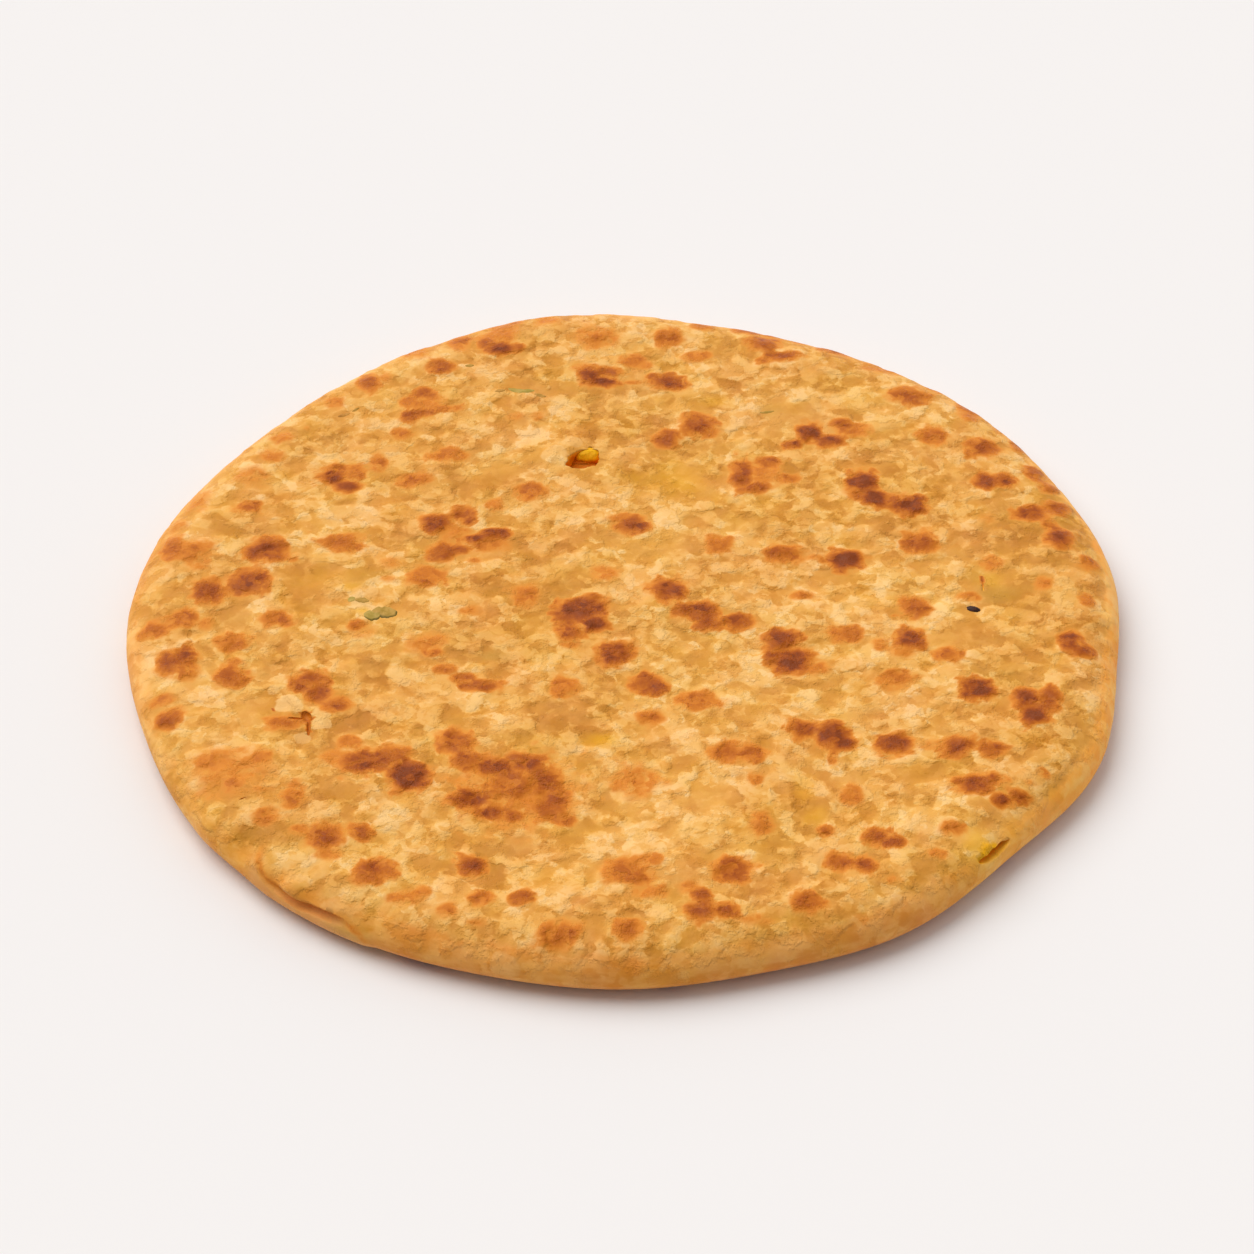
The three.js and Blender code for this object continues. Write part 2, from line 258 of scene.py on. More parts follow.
    (-25.4, -47.6, 2.4, 1.9, .9), (-21.6, -50.4, 2, 1.2, .82), (-18, -51.1, 1.5, 1, .76),
    (-11.6, -48.1, 1.9, 2.8, .76), (-10, -51.5, 1.9, 1.4, .64), (-18, -45.1, 8.2, 7, .44),
    # front middle
    (2, -43.1, 3.4, 2.8, .46), (2, -43.1, 1.6, 1.4, .54), (16, -37.1, 1.9, 1.9, .62),
    (20.6, -36.9, 1.8, 1.8, .66), (21, -43.1, 1.2, 1.4, .46), (21.7, -53.7, 1.7, 2.2, .46),
    (0, -64.1, 3.2, 2.2, .6), (3.6, -62.1, 1.7, 1.3, .52), (1.6, -66.1, 2, 1.2, .66),
    (4, -69.1, 2.8, 1.4, .42), (17, -64.1, 2.5, 2.2, .72), (12, -69.9, 1.3, 1.2, .8),
    (12, -73.1, 2.3, 1.6, .82), (15.6, -73.1, 1.9, 1.2, .76), (10, -68.1, 1.9, 1.4, .42),
    (20, -74.7, 2.6, .9, .4), (28.6, -71.1, 2.1, 1.4, .76),
    # front right
    (29.4, -30.6, 1.9, 1.7, .9), (33.4, -32.1, 2.1, 2.2, .95), (35.6, -33.7, 1.5, 1.5, .9),
    (33.6, -37.5, .8, 1.2, .5), (44, -34.1, 2.4, 1.9, .9), (49.6, -34.5, 1.8, 1.2, .38),
    (54, -35.1, 1.9, 1.7, .86), (59.8, -36.1, 1.6, 1.7, .76), (56.4, -44.1, 2.2, 1.8, .88),
    (59, -43.1, 1.4, 1.2, .82), (54, -43.5, 1.2, 1, .76), (60.6, -47.4, 1.5, 1, .82),
    (63.4, -46.4, 1.2, 1.1, .82), (67.6, -40.6, .9, .9, .55), (65, -43.1, .8, .7, .42),
    (36.6, -46.1, 1.5, 2.3, .52), (32, -54.6, 1.3, 1.1, .66), (40, -55.8, 1.7, 1.2, .82),
    (42.6, -57.3, 1.8, 1.1, .8), (34, -62.1, 1.8, 1.5, .8), (38, -62.4, 1.6, 1.3, .8),
    (52, -54.1, 1.8, 1.3, .56), (49.6, -59.8, 1.5, .8, .5), (41.6, -65.6, 1.4, .5, .46),
)

print(len(BROWNED_SPOTS), "browned spots")

# %% [markdown]
# A spot is never a clean oval. Each point's distance to the spot's middle is stretched by two smooth
# noises before it is faded, which frays the outline.

# %% Fray the spots
def ragged(points, size, depth, shift=0.0):
    # Smooth random wander of about -depth to depth, one value for each point
    offset = Vector((shift, -shift, 0.5 * shift))
    return depth * np.array([noise.noise(Vector(p) / size + offset) for p in points])


def soft_ovals(points, ovals, full, gone, power=1.0):
    # Highest of all the soft ovals at each point, with their outlines roughened
    x, y = points[:, 0], points[:, 1]
    wander = 1 + ragged(points, 2.6, 0.38) + ragged(points, 1.1, 0.26, 7.3)
    field = np.zeros(len(points))
    for oval_x, oval_y, half_x, half_y, strength in ovals:
        near = np.nonzero((np.abs(x - oval_x) < 3 * half_x) & (np.abs(y - oval_y) < 3 * half_y))[0]
        away = np.hypot((x[near] - oval_x) / half_x, (y[near] - oval_y) / half_y) * wander[near]
        field[near] = np.maximum(field[near], strength**power * smooth_step(away, gone, full))
    return field


def browned(points):
    # The eye reads a faint spot as darker than it is, so the strengths are raised to a power
    return soft_ovals(points, BROWNED_SPOTS, full=0.4, gone=2.0, power=1.6)


def pale_rings(points):
    # Each blister lifted a pale ring of dry skin just outside its browned part
    wide = soft_ovals(points, BROWNED_SPOTS, full=1.7, gone=2.5, power=0.8)
    return wide * smooth_step(ragged(points, 3.4, 1.0, 21.0), -0.25, 0.25)


middle = np.array(((-7.4, -0.9, TOP),))
print("middle spot: browned", browned(middle).round(2), "pale ring", pale_rings(middle).round(2))

# %% [markdown]
# ## The rolled round
# The skin starts as one square grid for the top. Its border is extruded once for each row of the rim, and
# the last row is bridged to a coarser grid for the underside, which nobody sees up close. A square grid
# bends onto a disc with far more even faces than a fan of slices, which would crowd at the middle and
# starve the edge.

# %% Grid and rim rows
TOP_CELLS, RIM_ROWS, BASE_CELLS = 240, 22, 80
BASE_ROW, BASE_INSET = RIM_ROWS + 1, 0.985

sheet = bmesh.new()
row_layer = sheet.verts.layers.int.new("row")
bmesh.ops.create_grid(sheet, x_segments=TOP_CELLS, y_segments=TOP_CELLS, size=1)
border = [edge for edge in sheet.edges if edge.is_boundary]
for row in range(1, RIM_ROWS + 1):
    made = bmesh.ops.extrude_edge_only(sheet, edges=border)["geom"]
    ring = [part for part in made if isinstance(part, bmesh.types.BMVert)]
    for vert in ring:
        vert[row_layer] = row
    edges = [part for part in made if isinstance(part, bmesh.types.BMEdge)]
    border = [edge for edge in edges if all(vert[row_layer] == row for vert in edge.verts)]
print("rim rows:", RIM_ROWS, "of", len(border), "edges")

# %% [markdown]
# The coarse grid is made below the rim, and its border is cut as finely, because a bridge between loops
# in one plane, or with unlike counts, can twist. The next step sets its true height.

# %% Bridge the underside
def open_base_edges():
    edges = [edge for edge in sheet.edges if edge.is_boundary]
    return [edge for edge in edges if all(vert[row_layer] == BASE_ROW for vert in edge.verts)]


below = Matrix.Translation((0, 0, -1))
base = bmesh.ops.create_grid(
    sheet, x_segments=BASE_CELLS, y_segments=BASE_CELLS, size=BASE_INSET, matrix=below,
)["verts"]
for vert in base:
    vert[row_layer] = BASE_ROW
cuts = TOP_CELLS // BASE_CELLS - 1
finer = bmesh.ops.subdivide_edges(sheet, edges=open_base_edges(), cuts=cuts)["geom_inner"]
for part in finer:
    if isinstance(part, bmesh.types.BMVert):
        part[row_layer] = BASE_ROW
base_border = open_base_edges()
bmesh.ops.bridge_loops(sheet, edges=border + base_border)
bmesh.ops.recalc_face_normals(sheet, faces=sheet.faces)
sheet.verts.ensure_lookup_table()
print(len(border), "edges bridged to", len(base_border), "open:", sum(e.is_boundary for e in sheet.edges))

# %% [markdown]
# ## Bend the grid onto the bread
# Each square ring of the grid becomes a circle, stretched to the outline. The rows of the rim lean from
# straight up to straight down around the rim's section. The front edge curls up off the table by a hair,
# which gives it the dark line of shadow that a real bread has there. This is the plain bread, smooth as
# the solid.

# %% Lay the grid on the disc
EDGE_LIFT, LIFTED_ARC = 0.6, (205, 235, 310, 335)

square = np.array([vert.co[:2] for vert in sheet.verts])
row = np.array([vert[row_layer] for vert in sheet.verts])
u, v = square[:, 0], square[:, 1]
wide = np.abs(u) >= np.abs(v)
reach = np.where(wide, u, v)
safe = np.where(reach == 0, 1, reach)
turn = np.where(wide, math.pi / 4 * v / safe, math.pi / 2 - math.pi / 4 * u / safe)
angle = np.arctan2(reach * np.sin(turn), reach * np.cos(turn))
lean = math.pi * (0.5 - np.clip(row / RIM_ROWS, 0, 1))
inset, height = rim_section(lean)
out = (outline_radius(angle) + lip_reach(angle, height) - inset) * np.abs(reach)
x, y = out * np.cos(angle), out * np.sin(angle)
height = height + np.maximum(0, np.sin(lean)) * low_relief(x, y)
lifted = arc(np.degrees(angle) % 360, *LIFTED_ARC)
height = height + EDGE_LIFT * lifted * np.maximum(0, -np.sin(lean)) * np.abs(reach) ** 10
skin = np.column_stack((x, y, height))
facing = np.column_stack((np.cos(lean) * np.cos(angle), np.cos(lean) * np.sin(angle), np.sin(lean)))
print("bread in mm:", np.round(np.ptp(skin, axis=0), 1))

# %% [markdown]
# ## Loose flaps and the hem of the top skin
# A few flakes are large enough to know by sight: two pale ones near the left edge, the thin skin over the
# split, and scales that hang down the front rim. Each is a patch round a point of the surface. The flaky
# skin itself ends in a ragged hem at the shoulder of the rim, and the side below it stayed smooth,
# because it never touched the iron.

# %% Flaps, hem and folds
FLAPS = (
    # x, y, z, radius, strength
    (-55.5, -24.4, 9.2, 2.7, 1), (-50, -26.8, 9.2, 1.7, .8), (-50, -29.4, 9.2, 1.9, .8),
    (-52.7, -33.1, 9.2, 1.8, .5), (-58.5, -20.6, 9.2, 1.4, .6), (-18.9, -81.9, 5.4, 2.6, .35),
    (-12.4, 40, 9.9, 2.6, .6), (-9.6, 43.4, 9.6, 2, .5),
)
FOLDS = (
    # x, y, z, spread, rise
    (-66.8, -49.6, 6.6, 2.4, .7), (-61.4, -56.4, 6.4, 1.6, -.6), (-56.6, -60.4, 7, 1.9, .75),
    (-52.6, -65, 6.6, 1.8, .75), (-54.8, -62.8, 6.2, .8, -.5), (-46.6, -69, 7, 2.1, .6),
    (-60.4, -51.2, 8.6, 1.2, .4), (57, -57.4, 7.5, 2.4, .8),
)
HEM_LEVEL = 6.5


def loose_flaps(points):
    field = np.zeros(len(points))
    for *middle, radius, strength in FLAPS:
        away = np.linalg.norm(points - middle, axis=1) / radius
        field = np.maximum(field, strength * (1 - smooth_step(away, 0.85, 1.1)))
    return field


def fold_rise(points):
    return sum(
        rise * bell(np.linalg.norm(points - middle, axis=1), spread) for *middle, spread, rise in FOLDS
    )


def below_hem(points):
    # 0 on the flaky top skin, 1 on the smooth side below its ragged hem
    level = HEM_LEVEL + ragged(points, 4.2, 2.2, 31.0) + ragged(points, 1.7, 1.2, 33.0)
    return smooth_step(level - points[:, 2], -0.4, 0.8)


print(len(FLAPS), "flaps,", len(FOLDS), "folds")

# %% [markdown]
# ## Flakes, blisters and a torn bubble
# Dry skin lifts off the dough in small ragged flakes. Their pattern is one random field, fine over
# coarse, and the same field later chooses their pale colour, so the paint always sits on the relief.
# Browned spots stand up a little as blisters. One bubble near the back rose further, and tore open at its
# right side.

# %% Raise the flakes and blisters
FLAKE_RISE, BLISTER_RISE, LUMP_RISE, FLAP_RISE = 0.18, 0.28, 0.16, 0.22
BUBBLES = (
    # x, y, spread, rise
    (-11.9, 40.6, 2.4, 1), (-8.2, 44.2, 2, .5),
)


def flake_field(points):
    return ragged(points, 5.6, 0.45, 3.1) + ragged(points, 2.5, 0.55, 11.7)


def bubble_rise(points):
    return sum(
        rise * bell(np.hypot(*(points[:, :2] - middle).T), spread) for *middle, spread, rise in BUBBLES
    )


upward = np.clip(np.sin(lean) * 1.2 + 0.5, 0, 1) * (row <= RIM_ROWS)
flakes = smooth_step(flake_field(skin), -0.2, 0.2)
spots = browned(skin)
rise = FLAKE_RISE * (flakes - 0.5) + BLISTER_RISE * spots + ragged(skin, 6.0, LUMP_RISE, 5.5)
rise += bubble_rise(skin) * (facing[:, 2] > 0.9)
rise = rise * upward * (1 - 0.5 * below_hem(skin)) + FLAP_RISE * loose_flaps(skin) + fold_rise(skin)
skin = skin + facing * rise[:, None]
for vert, place in zip(sheet.verts, skin):
    vert.co = Vector(place) * MM
print("relief in mm: from", round(float(rise.min()), 2), "to", round(float(rise.max()), 2))

# %% [markdown]
# The shaped grid becomes an object. Every later piece is made by the same short helper, with its place in
# its mesh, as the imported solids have.

# %% Make the crust a piece
def piece_from(name, shape):
    mesh = bpy.data.meshes.new(name)
    shape.to_mesh(mesh)
    shape.free()
    mesh.shade_smooth()
    piece = bpy.data.objects.new(name, mesh)
    bpy.context.scene.collection.objects.link(piece)
    return piece


crust = piece_from("browned_crust", sheet)
print("crust:", len(crust.data.polygons), "faces, highest point in mm:", round(float(skin[:, 2].max()), 2))

# %% [markdown]
# ## Hollow, split, tear and crease
# The potato lies in a hollow, and shows where the rim split and where the bubble tore. A Boolean with a
# shaped cutter gives each opening a real edge with thickness, which no painted line can. The cutters are
# stretched balls with roughened skins, so the edges look torn.

# %% Shape the cutters
SPLIT = {"bearing": 316.0, "height": 6.3, "length": 7.8, "opening": 1.4, "depth": 14.0, "tilt": 6}
SPLIT_ROUGHNESS, TEAR_ROUGHNESS, CRACK_ROUGHNESS = 0.16, 0.2, 0.25
TEAR = {
    "x": -7.5, "y": 39.2, "length": 6.8, "width": 4.1, "depth": 6.4, "turn": 36,
    "corner": (1.4, -0.9, 0.0), "corner_share": (0.40, 0.54, 1.0),
}


def ball_cutter(name, length, depth, height, turns, place, roughness, detail=5, knobs=9):
    shape = bmesh.new()
    bmesh.ops.create_icosphere(shape, subdivisions=detail, radius=0.5)
    for vert in shape.verts:
        vert.co *= 1 + roughness * noise.noise(vert.co * knobs)
    placing = Matrix.Translation(place)
    for degrees, axis in turns:
        placing = placing @ Matrix.Rotation(math.radians(degrees), 4, axis)
    placing = placing @ Matrix.Diagonal((length, depth, height, 1))
    bmesh.ops.transform(shape, matrix=placing, verts=shape.verts)
    bmesh.ops.scale(shape, vec=(MM, MM, MM), verts=shape.verts)
    return piece_from(name, shape)


split_angle = math.radians(SPLIT["bearing"])
split_out = float(outline_radius(split_angle))
split_x, split_y = split_out * math.cos(split_angle), split_out * math.sin(split_angle)
split_place = Vector((split_x, split_y, SPLIT["height"]))
split_size = (SPLIT["length"], SPLIT["depth"], SPLIT["opening"])
split_turns = ((SPLIT["bearing"] + 90, "Z"), (SPLIT["tilt"], "Y"))
split_cutter = ball_cutter("split_cutter", *split_size, split_turns, split_place, SPLIT_ROUGHNESS, knobs=4)
tear_place = Vector((TEAR["x"], TEAR["y"], TOP))
tear_size = (TEAR["length"], TEAR["width"], TEAR["depth"])
tear_turns = ((TEAR["turn"], "Z"),)
tear_cutter = ball_cutter("tear_cutter", *tear_size, tear_turns, tear_place, TEAR_ROUGHNESS, knobs=4)
corner_place = tear_place + Vector(TEAR["corner"])
corner_size = [size * share for size, share in zip(tear_size, TEAR["corner_share"])]
corner_cutter = ball_cutter("corner_cutter", *corner_size, (), corner_place, TEAR_ROUGHNESS, knobs=4)
print("cutters:", split_cutter.name, tear_cutter.name, corner_cutter.name)

# %% [markdown]
# Hair cracks run where a flake lifted off the dry skin. They are the same stretched balls, much smaller.

# %% Cracks
CRACKS = (
    # x, y, z, length, width, depth, turn
    (-52.4, -27.4, 9.2, 2.8, 1.7, 2.6, -62), (-54, -27.9, 9.2, 2.8, .6, 1.6, 4),
    (-51.9, -30.2, 9.2, 4.6, .7, 1.8, -88), (-58.2, -25.4, 9.2, 3, .4, 1, -60),
    (-61.3, -47.5, 9, 2.2, .5, .8, 20), (60.5, 6.4, 9.1, 5.2, .4, .8, 90),
)
crack_cutters = []
for number, (crack_x, crack_y, crack_z, *crack_size, crack_turn) in enumerate(CRACKS):
    crack_place = Vector((crack_x, crack_y, crack_z))
    crack_turns = ((crack_turn, "Z"),)
    name = f"crack_cutter_{number}"
    crack_cutters.append(ball_cutter(name, *crack_size, crack_turns, crack_place, CRACK_ROUGHNESS, detail=3))
print(len(crack_cutters), "cracks")

# %% [markdown]
# The crease is a groove that follows the rim. A small ring is spun part of the way round the bread. Then
# each ring is lifted to the scalloped line that the folded skin hangs to, and slid in or out, so that the
# groove starts at the surface, bites in, and comes out again.

# %% Spin the crease cutter
CREASE = {"start": 224.5, "end": 241.2, "width": 1.8, "bite": 1.4, "slide": 1.7, "wobble": 0.25, "steps": 60}
CREASE_LINE = (
    # bearing, height
    (224.5, 7.6), (226, 6.5), (227.6, 5.4), (229.8, 5), (232.5, 4.6), (235.2, 5.1), (238, 5.3),
    (240.2, 4.4), (241.2, 3.2),
)


def crease_height(bearing_degrees):
    return np.interp(bearing_degrees, *zip(*CREASE_LINE))


groove = bmesh.new()
bmesh.ops.create_circle(groove, cap_ends=False, segments=14, radius=1)
start = math.radians(CREASE["start"])
section = Matrix.Rotation(start, 4, "Z") @ Matrix.Translation((BREAD_RADIUS, 0, 0))
section = section @ Matrix.Rotation(math.pi / 2, 4, "X")
section = section @ Matrix.Diagonal((CREASE["bite"], CREASE["width"] / 2, 1, 1))
bmesh.ops.transform(groove, matrix=section, verts=groove.verts)
sweep = math.radians(CREASE["end"] - CREASE["start"])
bmesh.ops.spin(
    groove, geom=groove.verts[:] + groove.edges[:], cent=(0, 0, 0), axis=(0, 0, 1),
    angle=sweep, steps=CREASE["steps"], use_merge=False, use_duplicate=False,
)
bmesh.ops.holes_fill(groove, edges=[edge for edge in groove.edges if edge.is_boundary], sides=0)
bmesh.ops.recalc_face_normals(groove, faces=groove.faces)
print("ring swept through", round(math.degrees(sweep), 1), "degrees:", len(groove.faces), "faces")

# %% [markdown]
# The swept ring is bent to the crease's line. It is slid outwards at both ends, so the groove fades in
# and out without a square end.

# %% Bend the crease cutter
for vert in groove.verts:
    bearing = math.atan2(vert.co.y, vert.co.x) % (2 * math.pi)
    share = (math.degrees(bearing) - CREASE["start"]) / (CREASE["end"] - CREASE["start"])
    level = float(crease_height(math.degrees(bearing)))
    bend = math.asin(max(0.0, level - NOSE) / (TOP - NOSE))
    edge_out = float(outline_radius(bearing) + lip_reach(bearing, level) - rim_section(np.array(bend))[0])
    bite = CREASE["slide"] * CREASE["bite"] * (1 - math.sin(math.pi * min(max(share, 0), 1) ** 1.2))
    wobble = CREASE["wobble"] * noise.noise(vert.co / 2.5)
    moved = math.hypot(vert.co.x, vert.co.y) - BREAD_RADIUS + edge_out + bite + wobble
    vert.co = Vector((moved * math.cos(bearing), moved * math.sin(bearing), vert.co.z + level))
bmesh.ops.scale(groove, vec=(MM, MM, MM), verts=groove.verts)
crease_cutter = piece_from("crease_cutter", groove)
print("crease cutter faces:", len(crease_cutter.data.polygons))

# %% [markdown]
# The hollow is the filling's own solid, grown by the small gap of air round it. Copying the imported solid
# keeps the hollow true to it. The copy's loose triangles are merged first, so that its skin moves as one
# when it is grown.

# %% Crags on the filling
GAP, LUMP_GAP, LUMP_CRAG = 0.3, 0.05, 0.3
SPLIT_LUMP_INSET, SPLIT_LUMP_HEIGHT = 4.4, 7.1


def merged_copy(node):
    shape = bmesh.new()
    shape.from_mesh(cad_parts[node].data)
    bmesh.ops.remove_doubles(shape, verts=shape.verts, dist=0.01 * MM)
    shape.normal_update()
    return shape


TEAR_LUMP = {"place": Vector((-6.8, 43.0, 7.4)), "reach": 4.0, "push": Vector((0.5, -1.35, 0.63))}
SPLIT_LUMP = {"place": split_place * (1 - SPLIT_LUMP_INSET / split_out), "reach": 5.2}
SPLIT_LUMP["place"].z = SPLIT_LUMP_HEIGHT
LUMPS = (TEAR_LUMP, SPLIT_LUMP)


def lump_fade(point, lump):
    # 1 in the middle of a lump, 0 from its reach on
    return max(0.0, 1 - ((point - lump["place"]).length / lump["reach"]) ** 2)


def air_gap(point):
    # Air round the mash, finer round the two lumps that show
    near = any(lump_fade(point / MM, lump) > 0 for lump in LUMPS)
    return (LUMP_GAP if near else GAP) * MM


def craggy_filling():
    # The filling's solid, finer, with crags on its lumps and the tear's lump pushed up under the bubble
    shape = merged_copy("filling")
    bmesh.ops.subdivide_edges(shape, edges=shape.edges, cuts=2, use_grid_fill=True)
    shape.normal_update()
    for vert in shape.verts:
        point = vert.co / MM
        fade = max(lump_fade(point, lump) for lump in LUMPS)
        vert.co += vert.normal * LUMP_CRAG * fade * MM * noise.noise(point / 1.3)
        if lump_fade(point, TEAR_LUMP) > 0:
            under_bubble = Vector((0.0, 0.0, bubble_rise(np.array((point,)))[0]))
            vert.co += fade * (TEAR_LUMP["push"] + under_bubble) * MM
    shape.normal_update()
    return shape


print("lumps at", [[round(v, 1) for v in lump["place"]] for lump in LUMPS])

# %% [markdown]
# All the cutters go through the crust, one Boolean after another. A search tree of the uncut crust is
# kept, to tell how deep inside the dough each new wall lies.

# %% Cut the crust
SHARP_ANGLE = math.radians(55)

hollow = craggy_filling()
for vert in hollow.verts:
    vert.co += vert.normal * air_gap(vert.co)
hollow_cutter = piece_from("hollow_cutter", hollow)

crust_points = [vert.co for vert in crust.data.vertices]
uncut = BVHTree.FromPolygons(crust_points, [face.vertices for face in crust.data.polygons])
cutters = (hollow_cutter, split_cutter, tear_cutter, corner_cutter, crease_cutter, *crack_cutters)
for cutter in cutters:
    cut = crust.modifiers.new(cutter.name, "BOOLEAN")
    cut.operation, cut.solver, cut.object = "DIFFERENCE", "MANIFOLD", cutter
bpy.context.view_layer.update()
cut_mesh = bpy.data.meshes.new_from_object(crust.evaluated_get(bpy.context.evaluated_depsgraph_get()))
crust.modifiers.clear()
crust.data = cut_mesh
for cutter in cutters:
    bpy.data.objects.remove(cutter)
crust.data.shade_smooth()
crust.data.set_sharp_from_angle(angle=SHARP_ANGLE)
print("cut crust:", len(crust.data.polygons), "faces")

# %% [markdown]
# ## Paint guides on the crust
# A material can read numbers that are stored on the mesh. Each point of the crust now gets a few: how
# browned it is, where it lies in the flake pattern, how thin the dough is over the yellow potato, how
# much leaf shows through, and how far down the rim it sits. The shader adds the finest grain to these by
# itself.

# %% Thin, leafy and smooth patches
THIN_PATCHES = (
    # x, y, half width, half depth, strength
    (-4, -33.1, 3.4, 2.4, .9), (29, -44.1, 3, 3.6, .7), (31, -51.1, 2.2, 3, .6), (8, 33.9, 9, 6, .55),
    (-47, 4.9, 2.4, 1.6, .7), (-56.2, -61, 2.4, 2, .3), (-51.4, -64.6, 2, 1.8, .3),
    (-44.3, -1.1, 1.2, 1, 1), (-66.8, -50, 2.2, 2.4, .3), (-50, 6.9, 6, 3.4, .4), (62, 6.9, 2.6, 2, .6),
    (56.2, -57.3, 4, 3.4, 1), (16, 55.9, 3, 2, .5), (43, .9, 4, 3, .4),
)
HERB_PATCHES = (
    (-22, -12.7, 2.8, 1.8, .75), (-24, -7.5, 2.4, 1.4, .4), (63, 3.3, 4.6, 3.4, .7),
    (58.6, 8.5, 2.2, 2.4, .6), (26, 52.9, 4.4, 2.4, .5), (-44, 6.9, 3, 2.4, .5), (-45, 1.5, 2.2, 1.6, .6),
    (-47, -67.5, 2.6, 1.4, .6), (-10, 26.9, 1.6, 1.2, .4),
)
SMOOTH_PATCHES = (
    (-52, 6.9, 7, 4, 1), (28, 52.9, 5, 3.2, 1), (-15, 59.9, 9, 2, .8), (44, 36.9, 7, 1.6, .8),
    (56, -7.1, 5, 3.8, 1), (62, 4.9, 5, 4.4, .9), (36, 7.9, 5, 2.6, .8), (15, -48.1, 3.8, 3.8, 1),
    (30, -49.1, 3.4, 4, .9), (-45, -46.1, 2, 2, .9), (-20, -58.1, 9, 2.6, .6), (10, 32.9, 7, 5, .8),
    (-23, 34.9, 5, 3.4, .7), (48, -41.1, 5, 2.4, .8), (-61, -26.1, 4, 3.4, .9), (54, -56.5, 3.2, 2.6, 1),
    (-66, -2.1, 2.4, 2.2, .9), (-10, -29.1, 4.6, 2.6, .7), (-60, 20.9, 4.4, 2.4, .8),
)
print(len(THIN_PATCHES), "thin,", len(HERB_PATCHES), "leafy and", len(SMOOTH_PATCHES), "smooth patches")

# %% [markdown]
# Each point is measured first: how far it lies inside the uncut crust, and whether it is in a crack.
# Working on whole arrays is far quicker than asking point by point.

# %% Measure every point
INNER_DEPTH, CRACK_CORE, CRACK_DEPTH = 0.05, 0.6, 0.3

place = np.empty(len(crust.data.vertices) * 3)
crust.data.vertices.foreach_get("co", place)
place = place.reshape(-1, 3) / MM
outside = np.hypot(place[:, 0], place[:, 1])
edge_gap = outline_radius(np.arctan2(place[:, 1], place[:, 0])) - outside
on_top = np.clip((place[:, 2] - 4.5) / 1.5, 0, 1)
depth_in = np.array([uncut.find_nearest(vert.co)[3] for vert in crust.data.vertices]) / MM
inner = depth_in > INNER_DEPTH
smooth = soft_ovals(place, SMOOTH_PATCHES, full=0.5, gone=1.3)
side = below_hem(place) * ~inner

in_crack = np.zeros(len(place), dtype=bool)
for crack_x, crack_y, crack_z, length, width, depth, crack_turn in CRACKS:
    cosine, sine = math.cos(math.radians(crack_turn)), math.sin(math.radians(crack_turn))
    from_x, from_y, from_z = (place - (crack_x, crack_y, crack_z)).T
    along, across = from_x * cosine + from_y * sine, from_y * cosine - from_x * sine
    crack_away = np.hypot(np.hypot(along / length, across / width), from_z / depth)
    in_crack |= (crack_away < CRACK_CORE) & (from_z < -CRACK_DEPTH)
print(int(inner.sum()), "points on cut walls,", int(in_crack.sum()), "points in cracks")

# %% [markdown]
# The crease's groove gets painted shade, a darker brown, and the lip under it is paler. The underside is
# hidden, so random spots are enough to brown it.

# %% Crease and underside
CREASE_ARC = (223.5, 225.5, 240.8, 242)
UNDER_SPOTS, UNDER_REACH = 190, 82

bearing = np.degrees(np.arctan2(place[:, 1], place[:, 0])) % 360
crease_level = crease_height(bearing)
by_crease = arc(bearing, *CREASE_ARC)
lip = by_crease * smooth_step(crease_level + 0.2 - place[:, 2], 0, 0.8)
groove_shade = by_crease * bell(place[:, 2] - crease_level - 0.2, 0.6)
groove_end = bell(bearing - 239.0, 1.8) * bell(place[:, 2] - 4.4, 1.0)
in_crease = (by_crease > 0) & (edge_gap < 4) & inner

chance = np.random.default_rng(12)
under_spots = []
for _ in range(UNDER_SPOTS):
    spot_out, spot_turn = UNDER_REACH * math.sqrt(chance.random()), 2 * math.pi * chance.random()
    half = chance.uniform(1.3, 3.0)
    spot_x, spot_y = spot_out * math.cos(spot_turn), spot_out * math.sin(spot_turn)
    wider = half * chance.uniform(0.8, 1.4)
    under_spots.append((spot_x, spot_y, wider, half, chance.uniform(0.4, 1.0)))
underneath = soft_ovals(place, under_spots, full=0.45, gone=1.85, power=1.6)
underneath = underneath * (1 - smooth_step(place[:, 2], 0.6, 2.0))
print(len(under_spots), "spots underneath, browning up to", round(float(underneath.max()), 2))

# %% [markdown]
# The numbers are stored as attributes of the mesh, under the names that the shader asks for.

# %% Store the guides
# Painted light and shade on the rim: the right is painted brighter, the front browner, partly its own amber
# and partly painted shade, and the lit left side paler
FRONT_AMBER_SHADE_ARC, LIT_ARC, RIGHT_LIGHT_BEARING = (212, 240, 300, 322), (110, 150, 205, 222), 348
SHOULDER_LEVEL, LOW_LEVEL = 8.7, 4.0

